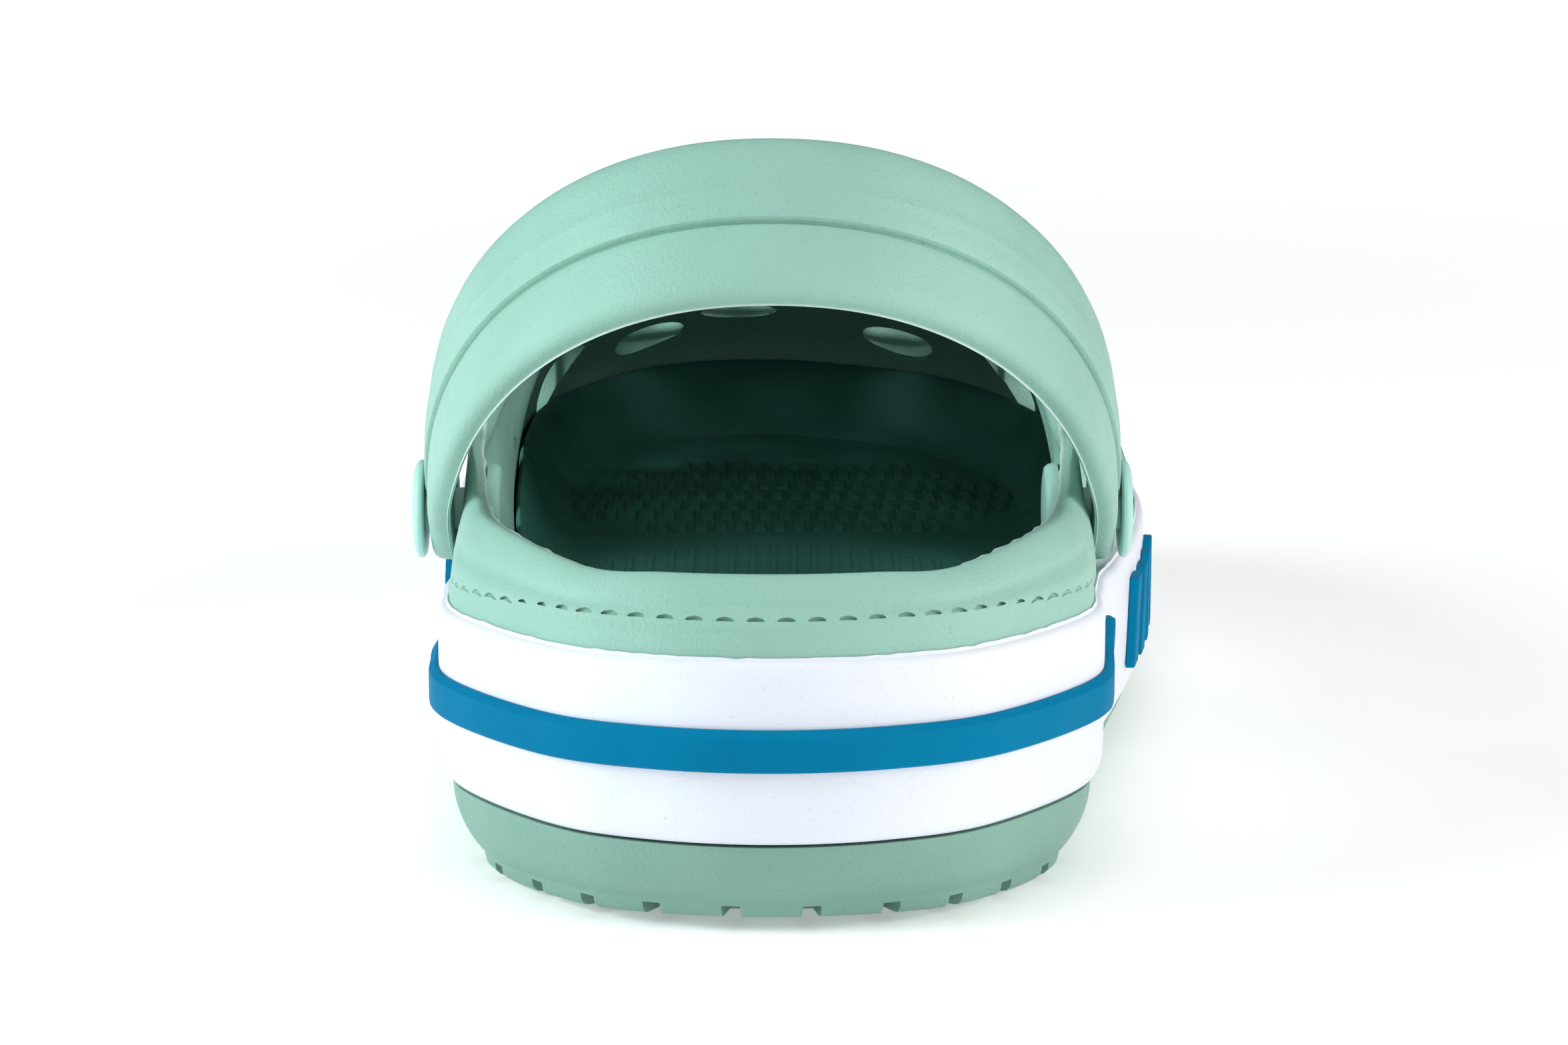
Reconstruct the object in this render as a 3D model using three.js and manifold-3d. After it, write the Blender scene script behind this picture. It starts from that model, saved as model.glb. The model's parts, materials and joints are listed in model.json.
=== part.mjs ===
// A rubber garden clog for the right foot: a moulded upper on an outsole, a glued-on midsole band
// with raised trim, a drop-in footbed, and a heel strap that turns on two press rivets.
// Millimetres, +Z up, toe towards +Y, outer (lateral) side of the foot towards +X.
import * as THREE from "three";
import { mergeVertices } from "three/addons/utils/BufferGeometryUtils.js";
import Module from "manifold-3d";

const wasm = await Module();
wasm.setup();

// ---- driving dimensions ----
const LENGTH = 250; // heel to toe, over the midsole band
const HEEL_HALF = 45; // half width of the band at the heel
const HEEL_DEPTH = 48; // from the back of the heel to where the sides run straight
const BALL_OUTER = 58.5; // centre line to the band at the little-toe joint
const BALL_INNER = 51; // centre line to the band at the big-toe joint
const TOE_X = -8; // the toe tip leans to the inner side

const HEEL_LIFT = 1.2; // bevel under the back edge of the heel
const HEEL_BEVEL = 25; // how far that bevel runs forward
const TOE_SPRING = 10; // rise of the sole under the toe tip
const TOE_BREAK = 175; // where the toe spring starts

const BAND_THICK = 5; // midsole band, outer face to inner face
const CORE_TOP = 18; // height of the flat seat for upper and footbed
const GLUE = 0.3; // gap left between pieces that are glued or rest on each other

const UPPER_INSET = 1.5; // upper's wall, in from the band's outer face
const UPPER_SKIRT = 3.7; // thickness of the upper's foot inside the band
const WALL = 4; // thickness of the upper's rim
const SEAT_INSET = 0.2; // flat on the upper that carries the strap, in from HEEL_HALF
const SEAT_FLAT = 10; // half length of that flat
const SEAT_SPREAD = 0.004; // how fast the wall spreads beyond the flat, per mm squared

const COLLAR_IN = 6.5; // the foot opening's side, in from HEEL_HALF at the heel
const RIM_BACK = 46; // height of the collar at the back of the heel
const RIM_SIDE = 43.5; // lowest height of the collar beside the foot
const EAR_TOP = 56; // height of the collar beside the pivot
const THROAT_TOP = 80; // height of the front edge of the foot opening
const THROAT_Y = 128; // that edge's distance from the back of the heel

const FOOTBED = 7; // footbed thickness under the foot
const FOOTBED_CUP = 5; // how far the footbed's edge stands above its middle at the heel
const FOOTBED_CURL = 11; // and beside the toes, where it curls up the wall
const FOOTBED_EDGE = 6; // width of that raised edge
const TOE_RISE = 4; // how far the footbed's middle rises to the toe tip

const PIVOT_Y = 85.5; // strap pivot, forward of the back of the heel
const PIVOT_Z = 40; // strap pivot height
const STRAP_REACH = 82.7; // pivot axis to the inside of the strap's bow
const STRAP_BULGE = 2.15; // roundness of the bow, 2 is an ellipse
const STRAP_ANGLE = 0.618; // rest angle above the horizontal, pointing back
const STRAP_THICK = 4;
const STRAP_WIDTH = 24.3;
const STRAP_TAB = 8; // radius of the round tab at each end
const STRAP_FLARE = 34; // distance over which a tab widens to the full strap
const STRAP_GAP = 0.4; // running gap beside the strap's tabs

const SHANK_R = 3; // rivet shank radius
const SHANK_GAP = 0.3; // radial gap round a shank
const HEAD_R = 7; // rivet head radius
const HEAD_THICK = 1.8;
const CAP_R = 6.5; // radius of the cap inside the upper
const CAP_THICK = 2;

const STRIPE_HEIGHT = 5;
const STRIPE_PROUD = 1.2; // how far raised trim stands off the band
const HEEL_STRIPE_END = 88; // where the heel stripe ends on the inner side
const STRIPE_TIP = 64; // where its tip lies on the outer side
const TIP_LENGTH = 16; // how far back from there the tip starts to rise
const TIP_RISE = 4.5;
const TOE_STRIPE_START = 182; // where the toe stripe begins on each side

const BARS = 4; // slanted bars on each side of the band
const BAR_START = 106; // first bar, forward of the back of the heel
const BAR_PITCH = 11;
const BAR_WIDTH = 6;
const BAR_SLANT = 5; // how far a bar's top leans forward of its foot

const VENT_R = 5.5; // round holes over the toes
const PORT_R = 6; // holes low on each side
const LUG_PITCH = 12; // spacing of the grooves round the sole's edge
const GROOVE_WIDTH = 2;
const GROOVE_DEPTH = 1.4;
const GROOVE_LENGTH = 11;

const SIDE_STATIONS = 30; // stations between heel tip and toe tip on each side
const DOME_RINGS = 7; // steps from the band up to the opening

const GREEN = 0x9ccdb8;
const DEEP_GREEN = 0x1f4a44;
const WHITE = 0xf4f6f8;
const BLUE = 0x0d78a8;

// ---- plan shape ----
const seatHalf = HEEL_HALF - SEAT_INSET; // centre line to the flat that carries the strap
const sideHalf = HEEL_HALF - COLLAR_IN; // centre line to the opening beside the heel
// Each row joins a point of the outline to the point of the foot opening it rises to.
// Columns: outline x and y, opening x, y and z, and the upright start of the wall between them.
const heelArc = (angle) => [
  HEEL_HALF * Math.sin((angle * Math.PI) / 180),
  HEEL_DEPTH * (1 - Math.cos((angle * Math.PI) / 180)),
];
const rows = [
  [0, 0, 0, 8, RIM_BACK, 5],
  [...heelArc(20), 0.278 * HEEL_HALF, 9.9, RIM_BACK - 0.1, 5],
  [...heelArc(40), 0.5 * HEEL_HALF, 15.5, RIM_BACK - 0.5, 5],
  [...heelArc(70), sideHalf - 4, 33, RIM_SIDE + 0.8, 5.5],
  [HEEL_HALF, HEEL_DEPTH + 4, sideHalf, 56, RIM_SIDE, 6],
  [HEEL_HALF + 2.2, 0.296 * LENGTH, sideHalf + 1.8, 77, RIM_SIDE + 1.5, 8],
  [HEEL_HALF + 5.8, 0.384 * LENGTH, sideHalf + 2.1, 86, EAR_TOP, 11],
  [BALL_OUTER - 2.2, 0.52 * LENGTH, 32, 102, EAR_TOP + 11, 7],
  [BALL_OUTER, 0.66 * LENGTH, 22, 116, THROAT_TOP - 6, 12],
  [BALL_OUTER - 5.5, 0.82 * LENGTH, 12, 124, THROAT_TOP - 1.5, 17],
  [0.64 * BALL_OUTER, 0.936 * LENGTH, 4, THROAT_Y - 1, THROAT_TOP - 0.5, 17],
  [14, 0.988 * LENGTH, 0.5, THROAT_Y, THROAT_TOP, 17],
  [TOE_X, LENGTH, -3, THROAT_Y, THROAT_TOP, 17],
  [-0.6 * BALL_INNER, 0.964 * LENGTH, -8, THROAT_Y - 1, THROAT_TOP - 0.5, 17],
  [3.5 - BALL_INNER, 0.856 * LENGTH, -17, 122, THROAT_TOP - 2, 17],
  [-BALL_INNER, 0.71 * LENGTH, -24, 114, THROAT_TOP - 7, 13],
  [1.5 - BALL_INNER, 0.56 * LENGTH, -32, 102, EAR_TOP + 11, 7],
  [-HEEL_HALF - 1.6, 0.388 * LENGTH, -sideHalf - 2.1, 86, EAR_TOP, 11],
  [-HEEL_HALF - 0.6, 0.296 * LENGTH, -sideHalf - 1.8, 77, RIM_SIDE + 1.5, 8],
  [-HEEL_HALF, HEEL_DEPTH + 4, -sideHalf, 56, RIM_SIDE, 6],
  [-heelArc(70)[0], heelArc(70)[1], 4 - sideHalf, 33, RIM_SIDE + 0.8, 5.5],
  [-heelArc(40)[0], heelArc(40)[1], -0.5 * HEEL_HALF, 15.5, RIM_BACK - 0.5, 5],
  [-heelArc(20)[0], heelArc(20)[1], -0.278 * HEEL_HALF, 9.9, RIM_BACK - 0.1, 5],
];
const closedCurve = (points) => new THREE.CatmullRomCurve3(points, true, "catmullrom", 0.5);
const outline = closedCurve(rows.map((r) => new THREE.Vector3(r[0], r[1], 0)));
const opening = closedCurve(rows.map((r) => new THREE.Vector3(r[2], r[3], r[4])));
const uprights = closedCurve(rows.map((r) => new THREE.Vector3(r[5], 0, 0)));
const TOE_ROW = rows.findIndex((r) => r[1] === LENGTH);

// Curve parameter of the point at distance y from the back of the heel, on one side of the foot.
function paramAt(y, side) {
  const toe = TOE_ROW / rows.length;
  let low = side > 0 ? 0 : 1;
  let high = toe;
  for (let i = 0; i < 40; i++) {
    const middle = (low + high) / 2;
    if (outline.getPoint(middle).y < y) low = middle;
    else high = middle;
  }
  return (low + high) / 2;
}

// Stations run from the heel tip up the outer side to the toe tip and back down the inner side.
const stationY = (i) => (LENGTH * (1 - Math.cos((Math.PI * i) / (SIDE_STATIONS + 1)))) / 2;
const stations = [0];
for (let i = 1; i <= SIDE_STATIONS; i++) stations.push(paramAt(stationY(i), 1));
stations.push(TOE_ROW / rows.length);
for (let i = SIDE_STATIONS; i >= 1; i--) stations.push(paramAt(stationY(i), -1));

// A point of the outline moved inwards, level with the ground.
function inside(t, inset) {
  const p = outline.getPoint(t);
  const along = outline.getTangent(t);
  return new THREE.Vector3(p.x - along.y * inset, p.y + along.x * inset, 0);
}

// Smooth line through height points, each [distance from the heel, height].
function heightLine(points) {
  const slope = (i) => {
    const a = points[Math.max(i - 1, 0)];
    const b = points[Math.min(i + 1, points.length - 1)];
    return (b[1] - a[1]) / (b[0] - a[0]);
  };
  return (y) => {
    const q = THREE.MathUtils.clamp(y, points[0][0], points[points.length - 1][0]);
    let i = 0;
    while (i < points.length - 2 && q > points[i + 1][0]) i++;
    const span = points[i + 1][0] - points[i][0];
    const u = (q - points[i][0]) / span;
    const v = 1 - u;
    return (
      points[i][1] * v * v * (1 + 2 * u) +
      points[i + 1][1] * u * u * (1 + 2 * v) +
      slope(i) * span * u * v * v -
      slope(i + 1) * span * u * u * v
    );
  };
}
const bandBottom = heightLine([
  [0, 12.4],
  [50, 11.7],
  [91, 8.2],
  [0.5 * LENGTH, 6.8],
  [0.68 * LENGTH, 7.6],
  [0.86 * LENGTH, 11.4],
  [LENGTH, TOE_SPRING + 6.5],
]);
const bandTop = heightLine([
  [0, 36],
  [50, 35],
  [91, 30.9],
  [0.5 * LENGTH, 29.4],
  [0.72 * LENGTH, 29.6],
  [0.9 * LENGTH, 33],
  [LENGTH, 35.5],
]);
function soleBottom(y) {
  if (y < HEEL_BEVEL) return HEEL_LIFT * (1 - y / HEEL_BEVEL) ** 2;
  if (y > TOE_BREAK) return TOE_SPRING * ((y - TOE_BREAK) / (LENGTH - TOE_BREAK)) ** 2;
  return 0;
}

// ---- meshes from rings ----
const ringAt = (inset, height) =>
  stations.map((t) => {
    const p = inside(t, inset);
    p.z = height(p.y);
    return p;
  });

// Closed surface through rings of equal length. Loops close on themselves, others get flat ends.
function loft(rings, loops) {
  const n = rings[0].length;
  const flat = rings.flat();
  const faces = [];
  const last = loops ? rings.length : rings.length - 1;
  for (let i = 0; i < last; i++) {
    for (let j = 0; j < n; j++) {
      const a = i * n + j;
      const b = i * n + ((j + 1) % n);
      const c = ((i + 1) % rings.length) * n + ((j + 1) % n);
      const d = ((i + 1) % rings.length) * n + j;
      faces.push(a, b, c, a, c, d);
    }
  }
  if (!loops) {
    const top = (rings.length - 1) * n;
    for (let j = 0; j < n / 2; j++) {
      const [a, b, c, d] = [j, j + 1, n - j - 1, (n - j) % n];
      if (b !== c) faces.push(a, c, b, top + a, top + b, top + c);
      if (a !== d) faces.push(a, d, c, top + a, top + c, top + d);
    }
  }
  const geometry = new THREE.BufferGeometry().setFromPoints(flat);
  geometry.setIndex(faces);
  return geometry;
}

// ---- booleans ----
function solid(geometry) {
  const g = geometry.clone();
  g.deleteAttribute("normal");
  g.deleteAttribute("uv");
  const merged = mergeVertices(g, 1e-4);
  const mesh = new wasm.Mesh({
    numProp: 3,
    vertProperties: new Float32Array(merged.attributes.position.array),
    triVerts: new Uint32Array(merged.index.array),
  });
  return new wasm.Manifold(mesh);
}
function geometryOf(manifold) {
  const mesh = manifold.getMesh();
  const geometry = new THREE.BufferGeometry();
  geometry.setAttribute("position", new THREE.BufferAttribute(mesh.vertProperties, 3));
  geometry.setIndex(new THREE.BufferAttribute(mesh.triVerts, 1));
  return geometry;
}
const cut = (geometry, tools) =>
  geometryOf(tools.reduce((body, tool) => body.subtract(solid(tool)), solid(geometry)));

// Round bar of one radius between two points.
function barBetween(from, to, radius, sides = 16) {
  const axis = to.clone().sub(from);
  const bar = new THREE.CylinderGeometry(radius, radius, axis.length(), sides);
  bar.applyQuaternion(
    new THREE.Quaternion().setFromUnitVectors(new THREE.Vector3(0, 1, 0), axis.clone().normalize()),
  );
  return bar.translate(...from.clone().add(to).divideScalar(2).toArray());
}

// ---- sole ----
function outsole() {
  const under = (y) => bandBottom(y) - GLUE;
  const rings = [
    ringAt(12, soleBottom),
    ringAt(7, (y) => soleBottom(y) + 1.6),
    ringAt(3.4, (y) => THREE.MathUtils.lerp(soleBottom(y), under(y), 0.55)),
    ringAt(1.6, under),
    ringAt(BAND_THICK + GLUE, under),
    ringAt(BAND_THICK + GLUE, () => CORE_TOP),
  ];
  return cut(loft(rings, false), edgeGrooves());
}

// Grooves that part the tread's edge into lugs, all round the sole.
function edgeGrooves() {
  const around = outline.getLength();
  const count = Math.round(around / LUG_PITCH);
  const grooves = [];
  for (let k = 0; k < count; k++) {
    const t = outline.getUtoTmapping((k + 0.5) / count);
    const centre = inside(t, 9.5);
    const along = outline.getTangent(t);
    const groove = new THREE.BoxGeometry(GROOVE_LENGTH, GROOVE_WIDTH, 2 * GROOVE_DEPTH);
    groove.rotateZ(Math.atan2(-along.x, along.y));
    groove.translate(centre.x, centre.y, soleBottom(centre.y));
    grooves.push(groove);
  }
  return grooves;
}

function midsoleBand() {
  const between = (share) => (y) => THREE.MathUtils.lerp(bandBottom(y), bandTop(y), share);
  return loft(
    [
      ringAt(BAND_THICK, bandBottom),
      ringAt(1.3, bandBottom),
      ringAt(0.2, between(0.12)),
      ringAt(0, between(0.3)),
      ringAt(0, between(0.75)),
      ringAt(0.3, between(0.93)),
      ringAt(0.9, bandTop),
      ringAt(BAND_THICK, bandTop),
    ],
    true,
  );
}

// Part of a ring standing on the band, between two curve parameters, as a strip of sections.
function strip(params, centreHeight, endShare) {
  const sections = params.map((t, i) => {
    const share = endShare(i);
    const half = (STRIPE_HEIGHT / 2) * (1 - 0.5 * share);
    const base = inside(t, -GLUE);
    const face = inside(t, -GLUE - STRIPE_PROUD);
    const z = centreHeight(base.y, share);
    const low = z - half;
    const high = z + half;
    return [
      base.clone().setZ(low),
      base.clone().setZ(high),
      face.clone().setZ(high - 0.7),
      face.clone().setZ(low + 0.3),
    ];
  });
  return endedLoft(sections);
}

// Closed surface through four-cornered sections, with flat ends.
function endedLoft(sections) {
  const n = sections[0].length;
  const faces = [];
  for (let i = 0; i < sections.length - 1; i++) {
    for (let j = 0; j < n; j++) {
      const a = i * n + j;
      const b = i * n + ((j + 1) % n);
      faces.push(a, b, b + n, a, b + n, a + n);
    }
  }
  const top = (sections.length - 1) * n;
  for (let j = 1; j < n - 1; j++) {
    faces.push(0, j + 1, j, top, top + j, top + j + 1);
  }
  return new THREE.BufferGeometry().setFromPoints(sections.flat()).setIndex(faces);
}

const stripeHeight = (y) => THREE.MathUtils.lerp(bandBottom(y), bandTop(y), 0.53);
const stripeSteps = 40;

function heelStripe() {
  const from = paramAt(HEEL_STRIPE_END, -1) - 1;
  const to = paramAt(STRIPE_TIP, 1);
  const params = [];
  for (let i = 0; i <= stripeSteps; i++) {
    params.push((THREE.MathUtils.lerp(from, to, i / stripeSteps) + 1) % 1);
  }
  // on the outer side the end sweeps up into a narrow tip
  const swept = (i) => {
    const at = outline.getPoint(params[i]);
    const start = STRIPE_TIP - TIP_LENGTH;
    return at.x > 0 ? THREE.MathUtils.smoothstep(at.y, start, STRIPE_TIP) : 0;
  };
  return strip(params, (y, share) => stripeHeight(y) + TIP_RISE * share, swept);
}

function toeStripe() {
  const from = paramAt(TOE_STRIPE_START, 1);
  const to = paramAt(TOE_STRIPE_START, -1);
  const params = [];
  for (let i = 0; i <= stripeSteps; i++) {
    params.push(THREE.MathUtils.lerp(from, to, i / stripeSteps));
  }
  return strip(params, stripeHeight, () => 0);
}

// One slanted bar on the side of the band.
function sideBar(index, side) {
  const y = BAR_START + index * BAR_PITCH;
  const height = (bandTop(y) - bandBottom(y)) * 0.56;
  const low = THREE.MathUtils.lerp(bandBottom(y), bandTop(y), 0.24);
  const corner = (offset, share, out) => {
    const at = inside(paramAt(y + offset + BAR_SLANT * share, side), -out);
    return at.setZ(low + height * share);
  };
  const half = BAR_WIDTH / 2;
  const level = (share, trim) => {
    const loop = [
      corner(-half + trim, share, GLUE),
      corner(half - trim, share, GLUE),
      corner(half - trim - 0.6, share, GLUE + STRIPE_PROUD - trim),
      corner(-half + trim + 0.6, share, GLUE + STRIPE_PROUD - trim),
    ];
    return side > 0 ? loop.reverse() : loop;
  };
  return endedLoft([level(0, 0.5), level(0.08, 0), level(0.92, 0), level(1, 0.5)]);
}

// ---- footbed ----
function footbed() {
  const inner = BAND_THICK + GLUE + UPPER_SKIRT + GLUE;
  const base = CORE_TOP + GLUE;
  const rise = (y) => TOE_RISE * Math.max(0, (y - 0.8 * LENGTH) / (0.2 * LENGTH)) ** 2;
  const surface = (y) => base + FOOTBED + rise(y);
  const curl = (y) => {
    const share = THREE.MathUtils.smoothstep(y, PIVOT_Y, 0.56 * LENGTH);
    return THREE.MathUtils.lerp(FOOTBED_CUP, FOOTBED_CURL, share);
  };
  // a ring down the raised edge, set in from the wall and lowered by a share of the edge's height
  const edge = (inset, share) =>
    stations.map((t) => {
      const y = inside(t, inner).y;
      const p = besideWall(t, surface(y) + curl(y), inset);
      p.z = surface(p.y) + curl(p.y) * (1 - share);
      return p;
    });
  const rings = [
    ringAt(inner, () => base),
    ringAt(inner, (y) => Math.min(surface(y) + 0.8 * FOOTBED_CUP, bandTop(y))),
    edge(GLUE, 0.12),
    edge(1.2, 0),
    edge(2.4, 0.1),
    edge(4, 0.5),
    ringAt(inner + FOOTBED_EDGE, (y) => surface(y) + 0.8),
    ringAt(inner + 2 * FOOTBED_EDGE, surface),
  ];
  return loft(rings, false);
}

// A point at a given height, at a distance from the upper's inner face.
function besideWall(t, height, distance) {
  const skirt = BAND_THICK + GLUE + UPPER_SKIRT;
  const wall = wallCurve(t, false);
  let share = 0;
  while (share < 1 && wall.getPoint(share).z < height) share += 0.01;
  const along = outline.getTangent(t);
  const p = height < bandTop(inside(t, skirt).y) ? inside(t, skirt) : wall.getPoint(share);
  return new THREE.Vector3(p.x - along.y * distance, p.y + along.x * distance, height);
}

// ---- upper ----
// Base of the upper's wall, held in beside the strap so that its tabs lie on a flat.
function wallBase(t) {
  const p = inside(t, UPPER_INSET);
  const beyond = Math.max(0, Math.abs(p.y - PIVOT_Y) - SEAT_FLAT);
  const limit = seatHalf + SEAT_SPREAD * beyond * beyond;
  p.x = THREE.MathUtils.clamp(p.x, -limit, limit);
  p.z = bandTop(p.y) + GLUE;
  return p;
}

// Curve from the band up over the foot to the opening, on the outer or the inner face.
function wallCurve(t, outer) {
  const rim = opening.getPoint(t);
  const upright = uprights.getPoint(t).x;
  const foot = wallBase(t);
  const over = foot.clone().sub(rim).setZ(0);
  const reach = THREE.MathUtils.mapLinear(over.length(), 8, 120, 0.5, 0.42);
  const drop = 0.16 * Math.max(0, over.length() - 8);
  const start = outer ? foot : inside(t, BAND_THICK + GLUE + UPPER_SKIRT).setZ(foot.z);
  const shift = outer ? new THREE.Vector3() : rimInward(t).multiplyScalar(WALL);
  const knee = rim.clone().addScaledVector(over, reach);
  knee.z -= drop;
  return new THREE.CubicBezierCurve3(
    start,
    start.clone().setZ(start.z + upright - (outer ? 0 : 2)),
    knee.add(shift),
    rim.clone().add(shift),
  );
}

// Unit direction through the rim, from the outer face to the inner face.
function rimInward(t) {
  const rim = opening.getPoint(t);
  const along = opening.getTangent(t);
  const over = wallBase(t).sub(rim).setZ(0);
  const fall = 0.16 * Math.max(0, over.length() - 8);
  const down = over.clone().multiplyScalar(0.45).setZ(-fall).normalize();
  const normal = new THREE.Vector3().crossVectors(along, down).normalize();
  return normal.z > 0 ? normal.negate() : normal;
}

function upperShell() {
  const skirt = BAND_THICK + GLUE;
  const rings = [
    ringAt(skirt, () => CORE_TOP + GLUE),
    ringAt(skirt, (y) => bandTop(y) + GLUE),
  ];
  const outer = stations.map((t) => wallCurve(t, true));
  const inner = stations.map((t) => wallCurve(t, false));
  for (let k = 0; k <= DOME_RINGS; k++) rings.push(outer.map((c) => c.getPoint(k / DOME_RINGS)));
  for (let k = DOME_RINGS; k >= 0; k--) rings.push(inner.map((c) => c.getPoint(k / DOME_RINGS)));
  rings.push(ringAt(skirt + UPPER_SKIRT, () => CORE_TOP + GLUE));
  return cut(loft(rings, true), [...vents(), ...ports(), ...rivetHoles()]);
}

// Holes straight up through the top of the toe box: rows of [distance from the heel, x places].
function vents() {
  const pattern = [
    [0.6, [-27, -1, 25]],
    [0.672, [-14, 12]],
    [0.742, [-30, -6, 22]],
    [0.812, [-22.4, 7.6]],
    [0.868, [-6]],
    [0.9, [-22, 21.4]],
  ];
  return pattern.flatMap(([share, places]) =>
    places.map((x) => {
      const y = share * LENGTH;
      return barBetween(new THREE.Vector3(x, y, 36), new THREE.Vector3(x, y + 6, 100), VENT_R);
    }),
  );
}

// Holes low through both sides of the shoe, from the instep to the toes.
function ports() {
  return [1, -1].flatMap((side) =>
    [0.45, 0.62, 0.83].map((share) => {
      const t = paramAt(share * LENGTH, side);
      const z = bandTop(share * LENGTH) + PORT_R + 3;
      const from = inside(t, 20).setZ(z);
      return barBetween(from, inside(t, -6).setZ(z + 1), PORT_R);
    }),
  );
}

const capFace = seatHalf - WALL; // bottom of the pocket for a rivet cap
function rivetHoles() {
  return [1, -1].flatMap((side) => {
    const at = (x) => new THREE.Vector3(side * x, PIVOT_Y, PIVOT_Z);
    return [
      barBetween(at(seatHalf - 20), at(seatHalf + 5), SHANK_R + SHANK_GAP, 24),
      barBetween(at(seatHalf - 20), at(capFace), CAP_R + 0.8, 24),
    ];
  });
}

// ---- strap and rivets ----
const strapInner = seatHalf + STRAP_GAP;
const strapBack = new THREE.Vector3(0, -Math.cos(STRAP_ANGLE), Math.sin(STRAP_ANGLE));
const strapAcross = new THREE.Vector3(0, Math.sin(STRAP_ANGLE), Math.cos(STRAP_ANGLE));
const pivot = new THREE.Vector3(0, PIVOT_Y, PIVOT_Z);

// Sections along the strap, each a point of the inner face, the outward direction and a half width.
function strapSections() {
  const sections = [];
  const place = (side, r) => {
    const half =
      r < 0
        ? Math.sqrt(STRAP_TAB ** 2 - r ** 2)
        : THREE.MathUtils.lerp(STRAP_TAB, STRAP_WIDTH / 2, THREE.MathUtils.smoothstep(r, 0, STRAP_FLARE));
    sections.push({ x: side * strapInner, r, nx: side, nr: 0, half });
  };
  const tab = [-0.985, -0.9, -0.7, -0.4].map((share) => share * STRAP_TAB);
  tab.forEach((r) => place(1, r));
  const steps = 40;
  for (let i = 0; i <= steps; i++) {
    const angle = (Math.PI * i) / steps;
    const power = 2 / STRAP_BULGE;
    const c = Math.cos(angle);
    const s = Math.abs(Math.sin(angle));
    const x = strapInner * Math.sign(c) * Math.abs(c) ** power;
    const r = STRAP_REACH * s ** power;
    // outward normal of the bow, from the gradient of its equation
    const gx = (Math.sign(c) * Math.abs(x / strapInner) ** (STRAP_BULGE - 1)) / strapInner;
    const gr = (r / STRAP_REACH) ** (STRAP_BULGE - 1) / STRAP_REACH;
    const g = Math.hypot(gx, gr);
    const grown = THREE.MathUtils.smoothstep(r, 0, STRAP_FLARE);
    const half = THREE.MathUtils.lerp(STRAP_TAB, STRAP_WIDTH / 2, grown);
    sections.push({ x, r, nx: gx / g, nr: gr / g, half });
  }
  tab.reverse().forEach((r) => place(-1, r));
  return sections;
}

function heelStrap() {
  // across the strap from its lower edge to its upper edge, with the thickness at each place
  const profile = [
    [-1, 0],
    [-1, STRAP_THICK - 1.8],
    [-0.82, STRAP_THICK - 0.7],
    [-0.12, STRAP_THICK - 0.7],
    [-0.04, STRAP_THICK],
    [0.9, STRAP_THICK],
    [1, STRAP_THICK - 0.9],
    [1, 0],
  ];
  const sections = strapSections().map((s) =>
    profile.map(([across, out]) => {
      const p = pivot.clone().addScaledVector(strapBack, s.r + s.nr * out);
      p.addScaledVector(strapAcross, across * s.half);
      p.x = s.x + s.nx * out;
      return p;
    }),
  );
  const reach = strapInner + STRAP_THICK + 5;
  const hole = barBetween(
    new THREE.Vector3(-reach, PIVOT_Y, PIVOT_Z),
    new THREE.Vector3(reach, PIVOT_Y, PIVOT_Z),
    SHANK_R + SHANK_GAP,
    24,
  );
  return cut(endedLoft(sections), [hole]);
}

// Lathe profile turned about the pivot axis, measured outwards from the middle of the shoe.
function turned(profile, side) {
  const points = profile.map(([x, r]) => new THREE.Vector2(r, x));
  const lathe = new THREE.LatheGeometry(points, 24);
  lathe.rotateZ(-side * (Math.PI / 2));
  return lathe.translate(0, PIVOT_Y, PIVOT_Z);
}

function rivetButton(side) {
  const under = strapInner + STRAP_THICK + STRAP_GAP / 2;
  const end = capFace - GLUE - CAP_THICK;
  const profile = [
    [end, 0],
    [end, SHANK_R],
    [under, SHANK_R],
    [under, HEAD_R],
    [under + 0.6 * HEAD_THICK, HEAD_R],
    [under + HEAD_THICK, HEAD_R - 1.6],
    [under + HEAD_THICK, 0],
  ];
  return turned(profile, side);
}

function rivetCap(side) {
  const face = capFace - GLUE;
  const bore = SHANK_R + SHANK_GAP;
  const profile = [
    [face, bore],
    [face - CAP_THICK, bore],
    [face - CAP_THICK, CAP_R - 1],
    [face - 0.5 * CAP_THICK, CAP_R],
    [face, CAP_R],
    [face, bore],
  ];
  return turned(profile, side);
}

// ---- the clog ----
const clog = new THREE.Group();

function piece(name, geometry, color, roughness) {
  const material = new THREE.MeshStandardMaterial({ color, roughness, metalness: 0 });
  const mesh = new THREE.Mesh(geometry, material);
  mesh.name = name;
  clog.add(mesh);
}

piece("outsole", outsole(), GREEN, 0.75);
piece("midsole_band", midsoleBand(), WHITE, 0.6);
piece("upper", upperShell(), GREEN, 0.72);
piece("footbed", footbed(), DEEP_GREEN, 0.8);
piece("heel_stripe", heelStripe(), BLUE, 0.55);
piece("toe_stripe", toeStripe(), BLUE, 0.55);
for (let i = 0; i < BARS; i++) {
  piece(`outer_bar_${i + 1}`, sideBar(i, 1), BLUE, 0.55);
  piece(`inner_bar_${i + 1}`, sideBar(i, -1), BLUE, 0.55);
}
piece("heel_strap", heelStrap(), GREEN, 0.72);
for (const [label, side] of [
  ["outer", 1],
  ["inner", -1],
]) {
  piece(`${label}_rivet_button`, rivetButton(side), GREEN, 0.6);
  piece(`${label}_rivet_cap`, rivetCap(side), GREEN, 0.6);
}

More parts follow.
